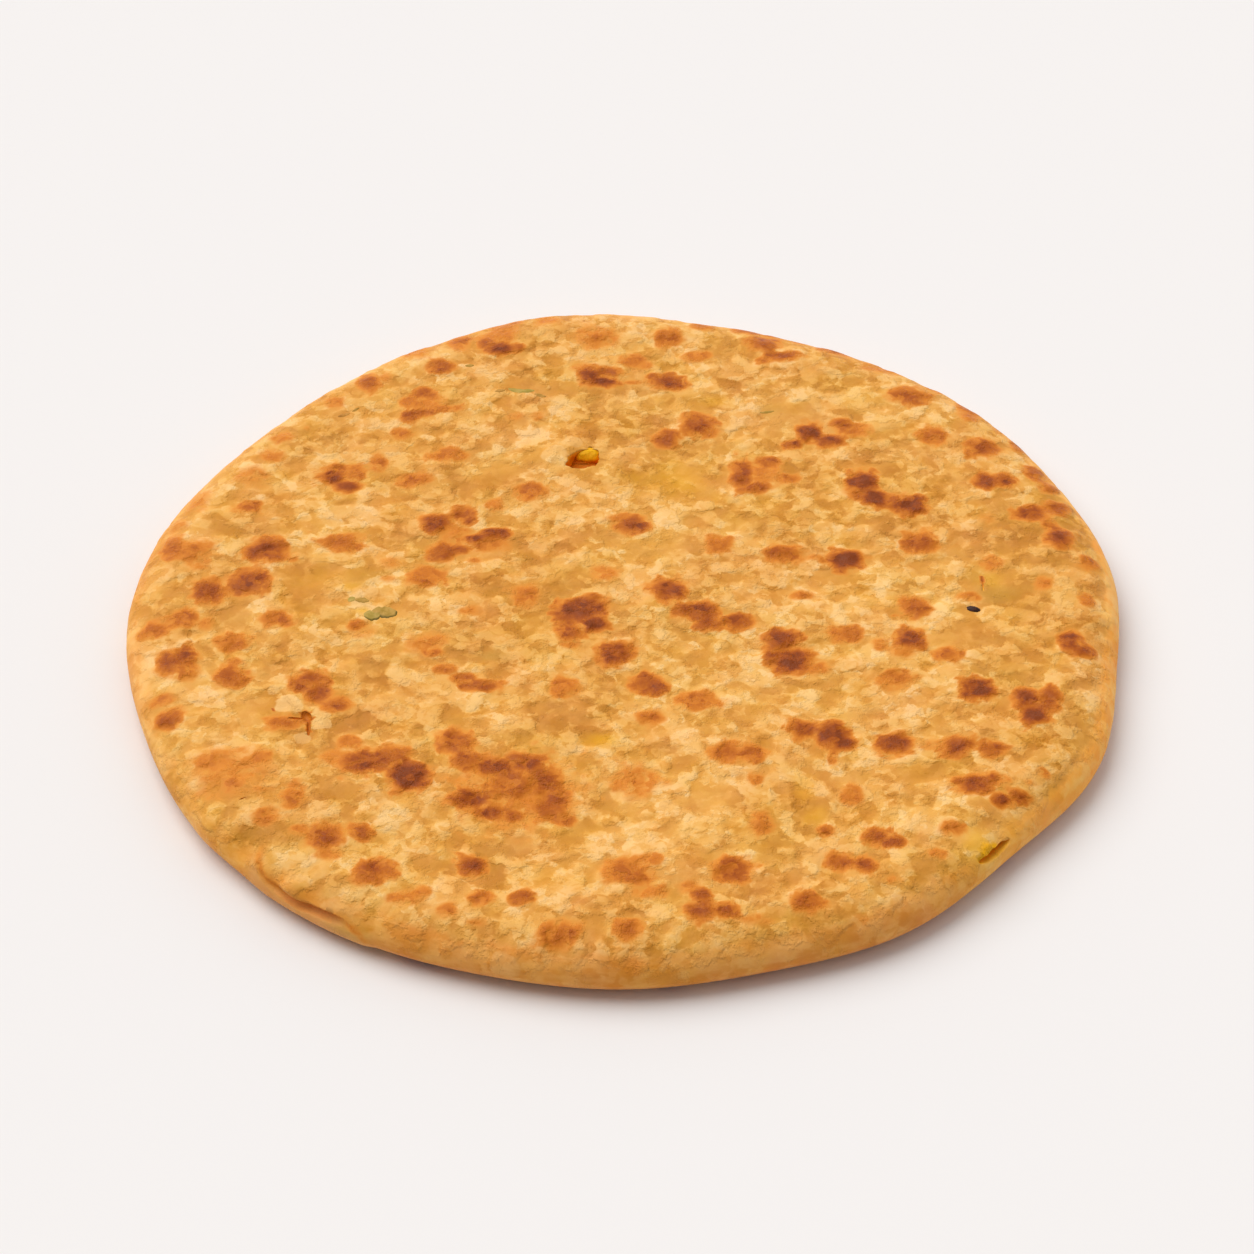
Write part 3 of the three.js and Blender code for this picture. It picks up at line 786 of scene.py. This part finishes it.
cut_wall = inner & ~in_crack & ~in_crease
# Toast, and painted shade in the crease's groove, which is browned a little
toast_and_groove_shade = np.maximum.reduce((browned(place) * on_top, underneath, 0.42 * in_crack, 0.22 * groove_shade))
guides = {
    "browning": toast_and_groove_shade * ~cut_wall,
    "flake": flake_field(place) - 0.9 * smooth - 1.0 * inner - 0.5 * side,
    "thin": soft_ovals(place, THIN_PATCHES, full=0.2, gone=1.3) * on_top,
    "inside": cut_wall.astype(float),
    # How deep a cut wall lies, which sets its painted shade
    "depth": smooth_step(depth_in, 0.3, 1.6),
    "herb": np.maximum(soft_ovals(place, HERB_PATCHES, full=0.2, gone=1.3) * on_top, 0.9 * groove_end),
    "shoulder": smooth_step(SHOULDER_LEVEL - place[:, 2], 0, 2.2),
    # Painted light: the raised tops of the folds, to be painted paler
    "fold_painted_light": np.maximum(0, fold_rise(place)),
    "right": smooth_step(np.cos(np.radians(bearing - RIGHT_LIGHT_BEARING)), 0.55, 0.9),
    "lit_side": arc(bearing, *LIT_ARC),
    "front_amber_and_shade": arc(bearing, *FRONT_AMBER_SHADE_ARC),
    "low": smooth_step(LOW_LEVEL - place[:, 2], 0, 2.0) * ~inner,
    "lip": lip * ~(inner & ~in_crease),
    "ring": np.maximum(pale_rings(place), 0.8 * bubble_rise(place)) * on_top * ~inner,
}
for name, values in guides.items():
    guide = crust.data.attributes.new(name, "FLOAT", "POINT")
    guide.data.foreach_set("value", values.astype(np.float32))
    print(name, "from", round(float(values.min()), 2), "to", round(float(values.max()), 2))

# %% [markdown]
# ## The toasted dough's finish
# The colour is built up in the order the bread is cooked: raw amber dough, then the pale dry flakes over
# it, then the orange and brown of the griddle. Two noise patterns roughen every border, coarse for the
# shape of an edge and fine for its crumbs. All of it reads Object coordinates or the guides, so it stays
# on the bread from any side.

# %% Node helpers
def new_material(name):
    material = bpy.data.materials.new(name)
    material.use_nodes = True
    material.node_tree.nodes.clear()
    return material, material.node_tree


def add(kind, inputs=None, tree=None, **settings):
    # A node joins the tree of the sockets that feed it, so only a node with none is told its tree
    inputs = inputs or {}
    fed = {key: value for key, value in inputs.items() if isinstance(value, bpy.types.NodeSocket)}
    tree = tree or next(iter(fed.values())).id_data
    node = tree.nodes.new("ShaderNode" + kind)
    for key, value in settings.items():
        setattr(node, key, value)
    for key, value in inputs.items():
        if key in fed:
            tree.links.new(value, node.inputs[key])
        else:
            node.inputs[key].default_value = value
    return node


def maths(operation, first, second=0.0):
    return add("Math", {0: first, 1: second}, operation=operation).outputs[0]


def soft_step(value, low, high):
    inputs = {"Value": value, "From Min": low, "From Max": high, "To Min": 0.0, "To Max": 1.0}
    return add("MapRange", inputs, interpolation_type="SMOOTHSTEP").outputs["Result"]


def blend(factor, first, second):
    return add("Mix", {0: factor, 6: first, 7: second}, data_type="RGBA").outputs[2]


def grain(coordinates, scale, detail=4.0, roughness=0.6):
    inputs = {"Vector": coordinates, "Scale": scale, "Detail": detail, "Roughness": roughness}
    noise_node = add("TexNoise", inputs)
    return maths("SUBTRACT", noise_node.outputs["Fac"], 0.5)


def vectors(operation, first, second, output="Vector"):
    return add("VectorMath", {0: first, 1: second}, operation=operation).outputs[output]


def ranged(value, low, high):
    return add("MapRange", {"Value": value, "To Min": low, "To Max": high}).outputs["Result"]


def scaled(vector, factor):
    return add("VectorMath", {0: vector, "Scale": factor}, operation="SCALE").outputs["Vector"]


print("node helpers ready")

# %% [markdown]
# A colour picked from a bread is already lit and already shines a little, so the paint has to be worked back
# from it. Sums get a helper too, because most borders here are a sum of three or four patterns.

# %% Colours and patterns
OIL_SHEEN, LIT = 0.014, 0.95


def linear(red, green, blue):
    # A colour as picked, 0 to 255, turned into the light that a shader works in
    picked = np.array((red, green, blue)) / 255
    light = np.where(picked <= 0.04045, picked / 12.92, ((picked + 0.055) / 1.055) ** 2.4)
    return (*[float(value) for value in light], 1.0)


def colour_ramp(value, stops):
    ramp = add("ValToRGB", {"Fac": value})
    elements = ramp.color_ramp.elements
    while len(elements) < len(stops):
        elements.new(0.5)
    for element, (position, picked) in zip(elements, stops):
        element.position, element.color = position, seen(*picked)
    return ramp.outputs["Color"]


def total(*terms):
    # Sum of values, each times its own share
    result = 0.0
    for value, share in terms:
        result = maths("ADD", result, maths("MULTIPLY", value, share))
    return result


def seen(red, green, blue):
    # The paint that looks like a picked colour once it is lit and the oil has added its faint white sheen
    return (*[max(0.0, (value - OIL_SHEEN) / LIT) for value in linear(red, green, blue)[:3]], 1.0)


def plates(coordinates, scale, softness):
    # Random tone, -0.5 to 0.5, for each cell of a cracked pattern with soft borders
    inputs = {"Vector": coordinates, "Scale": scale, "Smoothness": softness}
    cells = add("TexVoronoi", inputs, feature="SMOOTH_F1")
    red = add("SeparateColor", {"Color": cells.outputs["Color"]}).outputs["Red"]
    return maths("SUBTRACT", red, 0.5)


print("a seen tan as paint:", [round(value, 3) for value in seen(226, 160, 100)])

# %% [markdown]
# Broad patches, coarse grain and fine grain are plain noise. Plates and chips are the cells of a cracked
# pattern, with coordinates shaken by noise, so that their borders look torn.

# %% Patterns of the dough
dough, tree = new_material("toasted_dough")
coordinates = add("TexCoord", tree=tree).outputs["Object"]
elsewhere = vectors("ADD", coordinates, (0.37, 0.11, 0.05))
guide = {name: add("Attribute", tree=tree, attribute_name=name).outputs["Fac"] for name in guides}
patchy = grain(coordinates, 60, detail=2)
coarse = grain(coordinates, 420, detail=4)
fine = grain(coordinates, 1500, detail=3)
second = grain(elsewhere, 260, detail=4)

wander = add("TexNoise", {"Vector": coordinates, "Scale": 420.0, "Detail": 4.0}).outputs["Color"]
wander = scaled(vectors("SUBTRACT", wander, (0.5, 0.5, 0.5)), 3.6 * MM)
torn = vectors("ADD", coordinates, wander)
little = vectors("ADD", coordinates, scaled(wander, 0.75))
plate = plates(torn, 290, 0.35)
chip = plates(torn, 600, 0.30)
cells = add("TexVoronoi", {"Vector": torn, "Scale": 290.0}, feature="DISTANCE_TO_EDGE")
rift = soft_step(cells.outputs["Distance"], 0.10, 0.0)
rift = maths("MULTIPLY", rift, soft_step(second, 0.05, 0.14))
print("patterns:", len(tree.nodes), "nodes")

# %% [markdown]
# Two thin skins lie over the amber dough, each with its own torn border. All the patterns add up to one
# tone, which a ramp turns into colour, so a flake is only lighter and never of another hue.

# %% Raw dough and dry flakes
flake = guide["flake"]
lower_skin = soft_step(total((flake, 1.0), (plate, 0.6), (chip, 0.25), (fine, 0.1)), -0.24, 0.15)
upper_skin = soft_step(total((second, 1.2), (flake, 0.2), (chip, 0.35), (fine, 0.1)), -0.04, 0.10)
skins = maths("SUBTRACT", total((lower_skin, 0.55), (upper_skin, 0.45)), 0.5)
skins = maths("MULTIPLY", skins, ranged(guide["shoulder"], 0.46, 0.2))
tone = total((skins, 1.0), (patchy, 1.1), (coarse, 0.28), (plate, 0.25), (chip, 0.16), (fine, 0.04))
# Painted light: the tops of the folds get a paler tone, since their low relief barely shades
tone = total((tone, 1.0), (rift, -0.20), (guide["ring"], 0.20), (guide["fold_painted_light"], 0.40))
# Painted light: the tone of the right shoulder is raised, so it looks lit though it faces away from the lamp
right_shoulder_light = maths("MULTIPLY", guide["right"], soft_step(guide["shoulder"], 0.0, 0.3))
tone = maths("ADD", total((tone, 1.0), (right_shoulder_light, 0.14)), 0.475)
dough_stops = (
    (0, (196, 131, 52)), (0.25, (213, 148, 65)), (0.5, (227, 165, 81)), (0.75, (236, 181, 102)),
    (1, (244, 197, 129)),
)
colour = colour_ramp(tone, dough_stops)
print("dough ramp:", len(dough_stops), "stops")

# %% [markdown]
# The rim was never pressed on the iron, so it stayed smooth, with faint streaks round it. Its paint carries
# painted light and shade: it is brighter on the right, which faces away from the lamp, and paler on the
# left, which the lamp lights. It is browner at the front, partly its own amber and partly painted shade for
# the dim front, and tan at its lower edge.

# %% Rim
RIM_STEPS = (0.0, 0.35, 0.7, 1.0)
BACK_SHADES = ((220, 146, 62), (230, 161, 77), (240, 181, 100), (246, 197, 122))
SIDE_SHADES = {
    # The right's shades are painted light, brighter than the back's
    "right": ((248, 160, 60), (250, 174, 76), (252, 191, 101), (253, 204, 124)),
    # The front's shades are darker: partly the rim's own amber, partly painted shade for the dim front
    "front_amber_and_shade": ((216, 136, 52), (225, 149, 65), (237, 170, 88), (244, 187, 109)),
}

streaked = vectors("MULTIPLY", elsewhere, (1.0, 1.0, 4.0))
scales = total((grain(streaked, 85, detail=4), 1.0), (plate, 0.18), (chip, 0.08))
scales = soft_step(scales, -0.12, 0.14)
rim_tone = total((scales, 0.36), (patchy, 0.7), (coarse, 0.45), (chip, 0.16), (guide["fold_painted_light"], 0.3))
rim_tone = maths("ADD", rim_tone, 0.33)
rim_colour = colour_ramp(rim_tone, tuple(zip(RIM_STEPS, BACK_SHADES)))
for rim_side, shades in SIDE_SHADES.items():
    side_colour = colour_ramp(rim_tone, tuple(zip(RIM_STEPS, shades)))
    rim_colour = blend(guide[rim_side], rim_colour, side_colour)
tan = soft_step(total((guide["low"], 1.0), (coarse, 0.5), (patchy, 0.4)), 0.1, 0.9)
rim_colour = blend(maths("MULTIPLY", tan, 0.6), rim_colour, seen(226, 160, 100))
# Painted light: on the left side, which the lamp lights, the hem sits lower, so the paler top colours reach
# further down
hem = total((guide["shoulder"], 1.0), (coarse, 0.6), (patchy, 0.8), (plate, 0.4), (guide["lit_side"], -0.35))
colour = blend(soft_step(hem, 0.30, 0.85), colour, rim_colour)
print("rim shades: back,", ", ".join(SIDE_SHADES))

# %% [markdown]
# Thin dough lets the turmeric yellow through, or a bruise of green from a leaf just under it. A slow
# noise turns the hue by a hair, because no hand mixes dough to one shade.

# %% Lip, thin skin and tint
TINTS = {"lip": (0.7, (225, 163, 96)), "thin": (0.6, (234, 172, 48)), "herb": (0.5, (190, 150, 66))}
for name, (share, shade) in TINTS.items():
    colour = blend(maths("MULTIPLY", guide[name], share), colour, seen(*shade))
redder = soft_step(grain(elsewhere, 95, detail=5, roughness=0.7), -0.3, 0.3)
redder = ranged(redder, 0.493, 0.505)
duller = total((grain(coordinates, 130, detail=5, roughness=0.7), 0.10))
tint = {"Hue": redder, "Saturation": maths("ADD", 1.0, duller), "Color": colour}
colour = add("HueSaturation", tint).outputs["Color"]
print("tinted dough:", len(tree.nodes), "nodes")

# %% [markdown]
# Loose flaps are dry and pale. A distance to each flap's middle, shaken by noise, gives a crisper border
# than the points of the mesh could.

# %% Loose flaps
flap_skin = 0.0
for *middle, radius, strength in FLAPS:
    away = vectors("DISTANCE", little, Vector(middle) * MM, "Value")
    skin_here = soft_step(away, radius * MM, 0.78 * radius * MM)
    flap_skin = maths("MAXIMUM", flap_skin, maths("MULTIPLY", skin_here, 0.7 * strength))
dry_skin = blend(soft_step(coarse, -0.2, 0.2), seen(238, 188, 118), seen(247, 204, 138))
colour = blend(flap_skin, colour, dry_skin)
print(len(FLAPS), "flaps painted")

# %% [markdown]
# Toast goes over all of it, from orange to dark brown along one ramp. Crumbs of noise are let in only
# where there is some browning, or they would freckle the pale dough.

# %% Toast
browning = guide["browning"]
gate = soft_step(browning, 0.05, 0.40)
crumbs = maths("MULTIPLY", total((coarse, 0.60), (fine, 0.22), (chip, 0.30)), gate)
toast = maths("ADD", browning, crumbs)
toast_stops = (
    (0, (231, 160, 72)), (0.12, (226, 146, 60)), (0.3, (211, 126, 46)), (0.5, (190, 106, 36)),
    (0.7, (169, 87, 29)), (0.82, (151, 74, 25)), (0.95, (131, 64, 27)),
)
colour = blend(soft_step(toast, 0.0, 0.24), colour, colour_ramp(toast, toast_stops))
print("toast ramp:", len(toast_stops), "stops")

# %% [markdown]
# The walls of the cuts were never toasted: they are cooked dough, yellow with turmeric. Their paint is
# brighter at the lip, painted light against the shade of the narrow cut, and a deep orange further in,
# painted shade with the orange of light bounced off the mash. Yellow mash also smeared the upper edge of the
# split.

# %% Cut walls and stains
STAINS = (
    # x, y, z, radius of the yellow along the edge of the split
    (56.3, -59.4, 7.2, 1.3), (57, -58.5, 7.2, 1.6), (57.8, -57.6, 7.2, 1.8), (58.5, -56.7, 7.3, 1.5),
)

cut_dough_and_shade = blend(guide["depth"], seen(250, 184, 60), seen(234, 140, 8))
colour = blend(guide["inside"], colour, cut_dough_and_shade)
stain = 0.0
for *middle, radius in STAINS:
    away = vectors("DISTANCE", little, Vector(middle) * MM, "Value")
    stain = maths("MAXIMUM", stain, soft_step(away, radius * MM, 0.35 * radius * MM))
colour = blend(maths("MULTIPLY", stain, 0.95), colour, seen(246, 176, 20))
print(len(STAINS), "stains at the split")

# %% [markdown]
# Last come a fine bump, from the same patterns as the colour, and the oil. Fried spots hold more of it,
# so they are a little smoother than the dry dough.

# %% Bump, oil and the finished dough
def finish_piece(piece, material, colour, roughness, gloss, height, strength, depth):
    # One plain shader for every finish, with a bump of its own strength and depth in millimetres
    bump = add("Bump", {"Strength": strength, "Distance": depth * MM, "Height": height})
    inputs = {"Base Color": colour, "Roughness": roughness, "Specular IOR Level": gloss}
    shader = add("BsdfPrincipled", {**inputs, "Normal": bump.outputs["Normal"]})
    add("OutputMaterial", {"Surface": shader.outputs["BSDF"]})
    piece.data.materials.clear()
    piece.data.materials.append(material)


lower_edge = soft_step(total((flake, 1.0), (coarse, 0.7)), -0.25, 0.2)
upper_edge = soft_step(total((second, 1.2), (flake, 0.2), (fine, 0.3)), -0.05, 0.12)
height = total((lower_edge, 0.55), (upper_edge, 0.45), (coarse, 0.35), (fine, 0.2))
roughness = ranged(maths("ADD", toast, fine), 0.55, 0.38)
finish_piece(crust, dough, colour, roughness, gloss=0.16, height=height, strength=0.9, depth=0.3)
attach(crust, "root")
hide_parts("dough")
print("toasted dough:", len(tree.nodes), "nodes")

# %% [markdown]
# ## The potato filling
# The mash is soft, yellow with turmeric and grainy. It only shows inside the tear and the split, so a
# finer copy of its solid with a slightly rough skin is enough. The roughness stays smaller than the gap
# of air round it.

# %% Rough mash
MASH_ROUGHNESS = 0.7

mash = craggy_filling()
deep_layer = mash.verts.layers.float.new("deep")
for vert in mash.verts:
    point = vert.co / MM
    beside_tear = math.hypot(point.x - TEAR["x"], point.y - TEAR["y"]) / TEAR["length"]
    vert[deep_layer] = float(smooth_step(8.5 - point.z, 0, 0.7) * (beside_tear < 0.8))
    vert.co += vert.normal * MASH_ROUGHNESS * air_gap(vert.co) * noise.noise(point / 1.2)
potato = piece_from("potato_mash", mash)
print("mash:", len(potato.data.polygons), "faces")

# %% [markdown]
# Its colour is a strong yellow with a grain of two shades, and darker down in the tear, where little
# light gets in.

# %% Mash colour
filling, tree = new_material("potato_filling")
coordinates = add("TexCoord", tree=tree).outputs["Object"]
crumb = grain(coordinates, 900, detail=5)
colour = blend(soft_step(crumb, -0.25, 0.25), seen(246, 172, 8), seen(252, 190, 18))
deep = add("Attribute", tree=tree, attribute_name="deep").outputs["Fac"]
colour = blend(deep, colour, seen(206, 116, 6))
finish_piece(potato, filling, colour, 0.5, gloss=0.2, height=crumb, strength=0.8, depth=0.5)
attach(potato, "root")
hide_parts("filling")
print("mash colour:", len(tree.nodes), "nodes")

# %% [markdown]
# ## Leaf shreds and a seed
# Chopped coriander and a black seed from the filling pushed up into the skin. Each shred is a small
# pointed sheet, bent over the crust: a ray cast straight down finds the crust's height under every point.
# Its middle stands just proud and its edge dips below the skin, so the bumpy skin itself draws the
# shred's ragged outline.

# %% Press shreds into the skin
SHREDS = (
    # x, y, length, width, turn, bend, how dry and brown, how strong the painted shadow on its near edge
    (-40.6, -1.8, 4.6, 3.5, -8, .2, .5, 1), (-42.6, -2.2, 3.1, 2.8, 10, -.2, .2, 1),
    (-46.3, 1.6, 1.5, 1.6, 60, 0, .15, .3), (-44.5, 1.4, 2.6, 1.6, -6, 0, .6, 0),
    (-22.4, 58.4, 2, 1.1, 10, 0, .85, .2), (-18.6, 58.8, 5, 1.4, -6, -.3, .15, .4),
    (-15.2, 57.3, 2.2, 1, -18, 0, .75, .3), (-49.9, 52.5, 2.4, 1, 24, 0, 1, .6),
    (-47.9, 53.9, 1.6, .7, 40, 0, .7, .3), (-28, 65.9, 1.7, 1, 10, 0, .6, .2),
    (25, 52.9, 2.8, .7, 15, 0, .5, 0),
)
SHRED_LIFT, SHRED_DIP, SHRED_THICKNESS = 0.10, 0.14, 0.3

crust_surface = BVHTree.FromObject(crust, bpy.context.evaluated_depsgraph_get())


def crust_height(x, y):
    return crust_surface.ray_cast(Vector((x, y, 20)) * MM, Vector((0, 0, -1)))[0].z / MM


shreds = bmesh.new()
edge_shadow_layer = shreds.verts.layers.float.new("edge")
dry_layer = shreds.verts.layers.float.new("dry")
for shred_x, shred_y, length, width, turn, bend, dry, dark in SHREDS:
    sheet = bmesh.ops.create_grid(shreds, x_segments=22, y_segments=10, size=1)["verts"]
    swing = Matrix.Rotation(math.radians(turn), 2)
    for vert in sheet:
        u, v = vert.co.x, vert.co.y
        taper = max(0.12, (1 - u * u) ** 0.6) * (1 + 0.35 * noise.noise(Vector((3 * u, shred_x, shred_y))))
        spot = swing @ Vector((u * length / 2, v * taper * width / 2 + bend * (1 - u * u)))
        x, y = shred_x + spot.x, shred_y + spot.y
        border = max(abs(u) ** 3, abs(v))
        # Painted shadow: darker along the near side, at one tip and a little round the outline
        vert[edge_shadow_layer] = dark * max(u**3, -v, 0.35 * border)
        vert[dry_layer] = dry
        vert.co = Vector((x, y, crust_height(x, y) + SHRED_LIFT - SHRED_DIP * border**2)) * MM
bmesh.ops.recalc_face_normals(shreds, faces=shreds.faces)
bmesh.ops.solidify(shreds, geom=shreds.faces[:], thickness=SHRED_THICKNESS * MM)
bmesh.ops.recalc_face_normals(shreds, faces=shreds.faces)
leaves = piece_from("leaf_shreds", shreds)
print("leaf shreds:", len(leaves.data.polygons), "faces")

# %% [markdown]
# Fried leaf is a dull olive green, and the driest shreds have gone brown. The near edges are darker: painted
# shadow, as if under a curled edge.

# %% Leaf colour
leaf, tree = new_material("coriander_leaf")
coordinates = add("TexCoord", tree=tree).outputs["Object"]
edge = add("Attribute", tree=tree, attribute_name="edge").outputs["Fac"]
dry = add("Attribute", tree=tree, attribute_name="dry").outputs["Fac"]
vein = grain(coordinates, 900, detail=4)
green = blend(soft_step(vein, -0.2, 0.2), seen(158, 140, 56), seen(188, 162, 86))
brown = blend(soft_step(vein, -0.2, 0.2), seen(168, 112, 40), seen(200, 142, 66))
colour = blend(dry, green, brown)
painted_edge_shadow = soft_step(total((edge, 1.0), (vein, 0.5)), 0.4, 0.75)
colour = blend(painted_edge_shadow, colour, seen(104, 88, 26))
finish_piece(leaves, leaf, colour, 0.5, gloss=0.2, height=vein, strength=0.6, depth=0.2)
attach(leaves, "root")
print("leaf colour:", len(tree.nodes), "nodes")

# %% [markdown]
# The seed is a ball, stretched, narrowed at one end and sunk a little into the skin. It is nearly black,
# with a brown grain that only shows up close.

# %% Black seed
SEED = {"x": 58.6, "y": -0.5, "length": 2.7, "width": 1.5, "height": 1.0, "turn": -18, "sunk": 0.15}

seed_shape = bmesh.new()
bmesh.ops.create_icosphere(seed_shape, subdivisions=4, radius=0.5)
for vert in seed_shape.verts:
    vert.co *= 1 + 0.10 * noise.noise(vert.co * 5) - 0.25 * max(0.0, vert.co.x)
seed_place = Vector((SEED["x"], SEED["y"], crust_height(SEED["x"], SEED["y"]) - SEED["sunk"]))
placing = Matrix.Translation(seed_place) @ Matrix.Rotation(math.radians(SEED["turn"]), 4, "Z")
placing = Matrix.Scale(MM, 4) @ placing @ Matrix.Diagonal((SEED["length"], SEED["width"], SEED["height"], 1))
bmesh.ops.transform(seed_shape, matrix=placing, verts=seed_shape.verts)
seed = piece_from("black_seed", seed_shape)
husk, tree = new_material("black_seed")
coordinates = add("TexCoord", tree=tree).outputs["Object"]
speck = grain(coordinates, 1600, detail=3)
colour = blend(soft_step(speck, -0.1, 0.3), linear(38, 16, 8), linear(84, 40, 16))
finish_piece(seed, husk, colour, 0.45, gloss=0.2, height=speck, strength=0.5, depth=0.1)
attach(seed, "root")
print("seed:", len(seed.data.polygons), "faces")

# %% [markdown]
# ## Table and light
# The bread lies on a plain, pale table. It is one large flat sheet, so that its far edge stays out of the
# picture even in a low view from the side.

# %% Table
table_shape = bmesh.new()
bmesh.ops.create_grid(table_shape, x_segments=1, y_segments=1, size=20.0)
table = piece_from("table", table_shape)
surface, tree = new_material("pale_table")
shader = add("BsdfPrincipled", {"Base Color": (0.85, 0.83, 0.828, 1), "Roughness": 0.9}, tree)
add("OutputMaterial", {"Surface": shader.outputs["BSDF"]})
table.data.materials.append(surface)
print("table:", [round(v, 1) for v in table.dimensions])

# %% [markdown]
# One large soft lamp stands behind the bread at the left, so the shadow falls short and soft to the right
# and front. A bright surround fills the rest. It is dimmer on the viewer's side, which darkens the front
# rim and the gap under it, and a little brighter at the right.

# %% Lamp and surround
LAMP_FROM = Vector((-0.46, 0.30, 0.84))
SURROUND, FRONT_DIM, RIGHT_FILL = 0.504, 0.34, 0.12

lamp_data = bpy.data.lights.new("soft_lamp", "SUN")
lamp_data.angle = math.radians(60)
lamp_data.energy = 2.19
lamp_data.color = (1.0, 0.98, 0.95)
lamp = bpy.data.objects.new("soft_lamp", lamp_data)
lamp.location = LAMP_FROM
lamp.rotation_euler = (-LAMP_FROM).to_track_quat("-Z", "Y").to_euler()
bpy.context.scene.collection.objects.link(lamp)

surround = bpy.data.worlds.new("surround")
surround.use_nodes = True
tree = surround.node_tree
backdrop = tree.nodes["Background"]
direction = add("SeparateXYZ", {"Vector": add("TexCoord", tree=tree).outputs["Generated"]}).outputs
strength = total((direction["Y"], FRONT_DIM), (direction["X"], RIGHT_FILL))
tree.links.new(maths("ADD", strength, SURROUND), backdrop.inputs["Strength"])
backdrop.inputs["Color"].default_value = (1.0, 0.99, 0.985, 1)
bpy.context.scene.world = surround
bpy.context.scene.view_settings.view_transform = "Standard"
print("lamp at", [round(v, 2) for v in lamp.location])
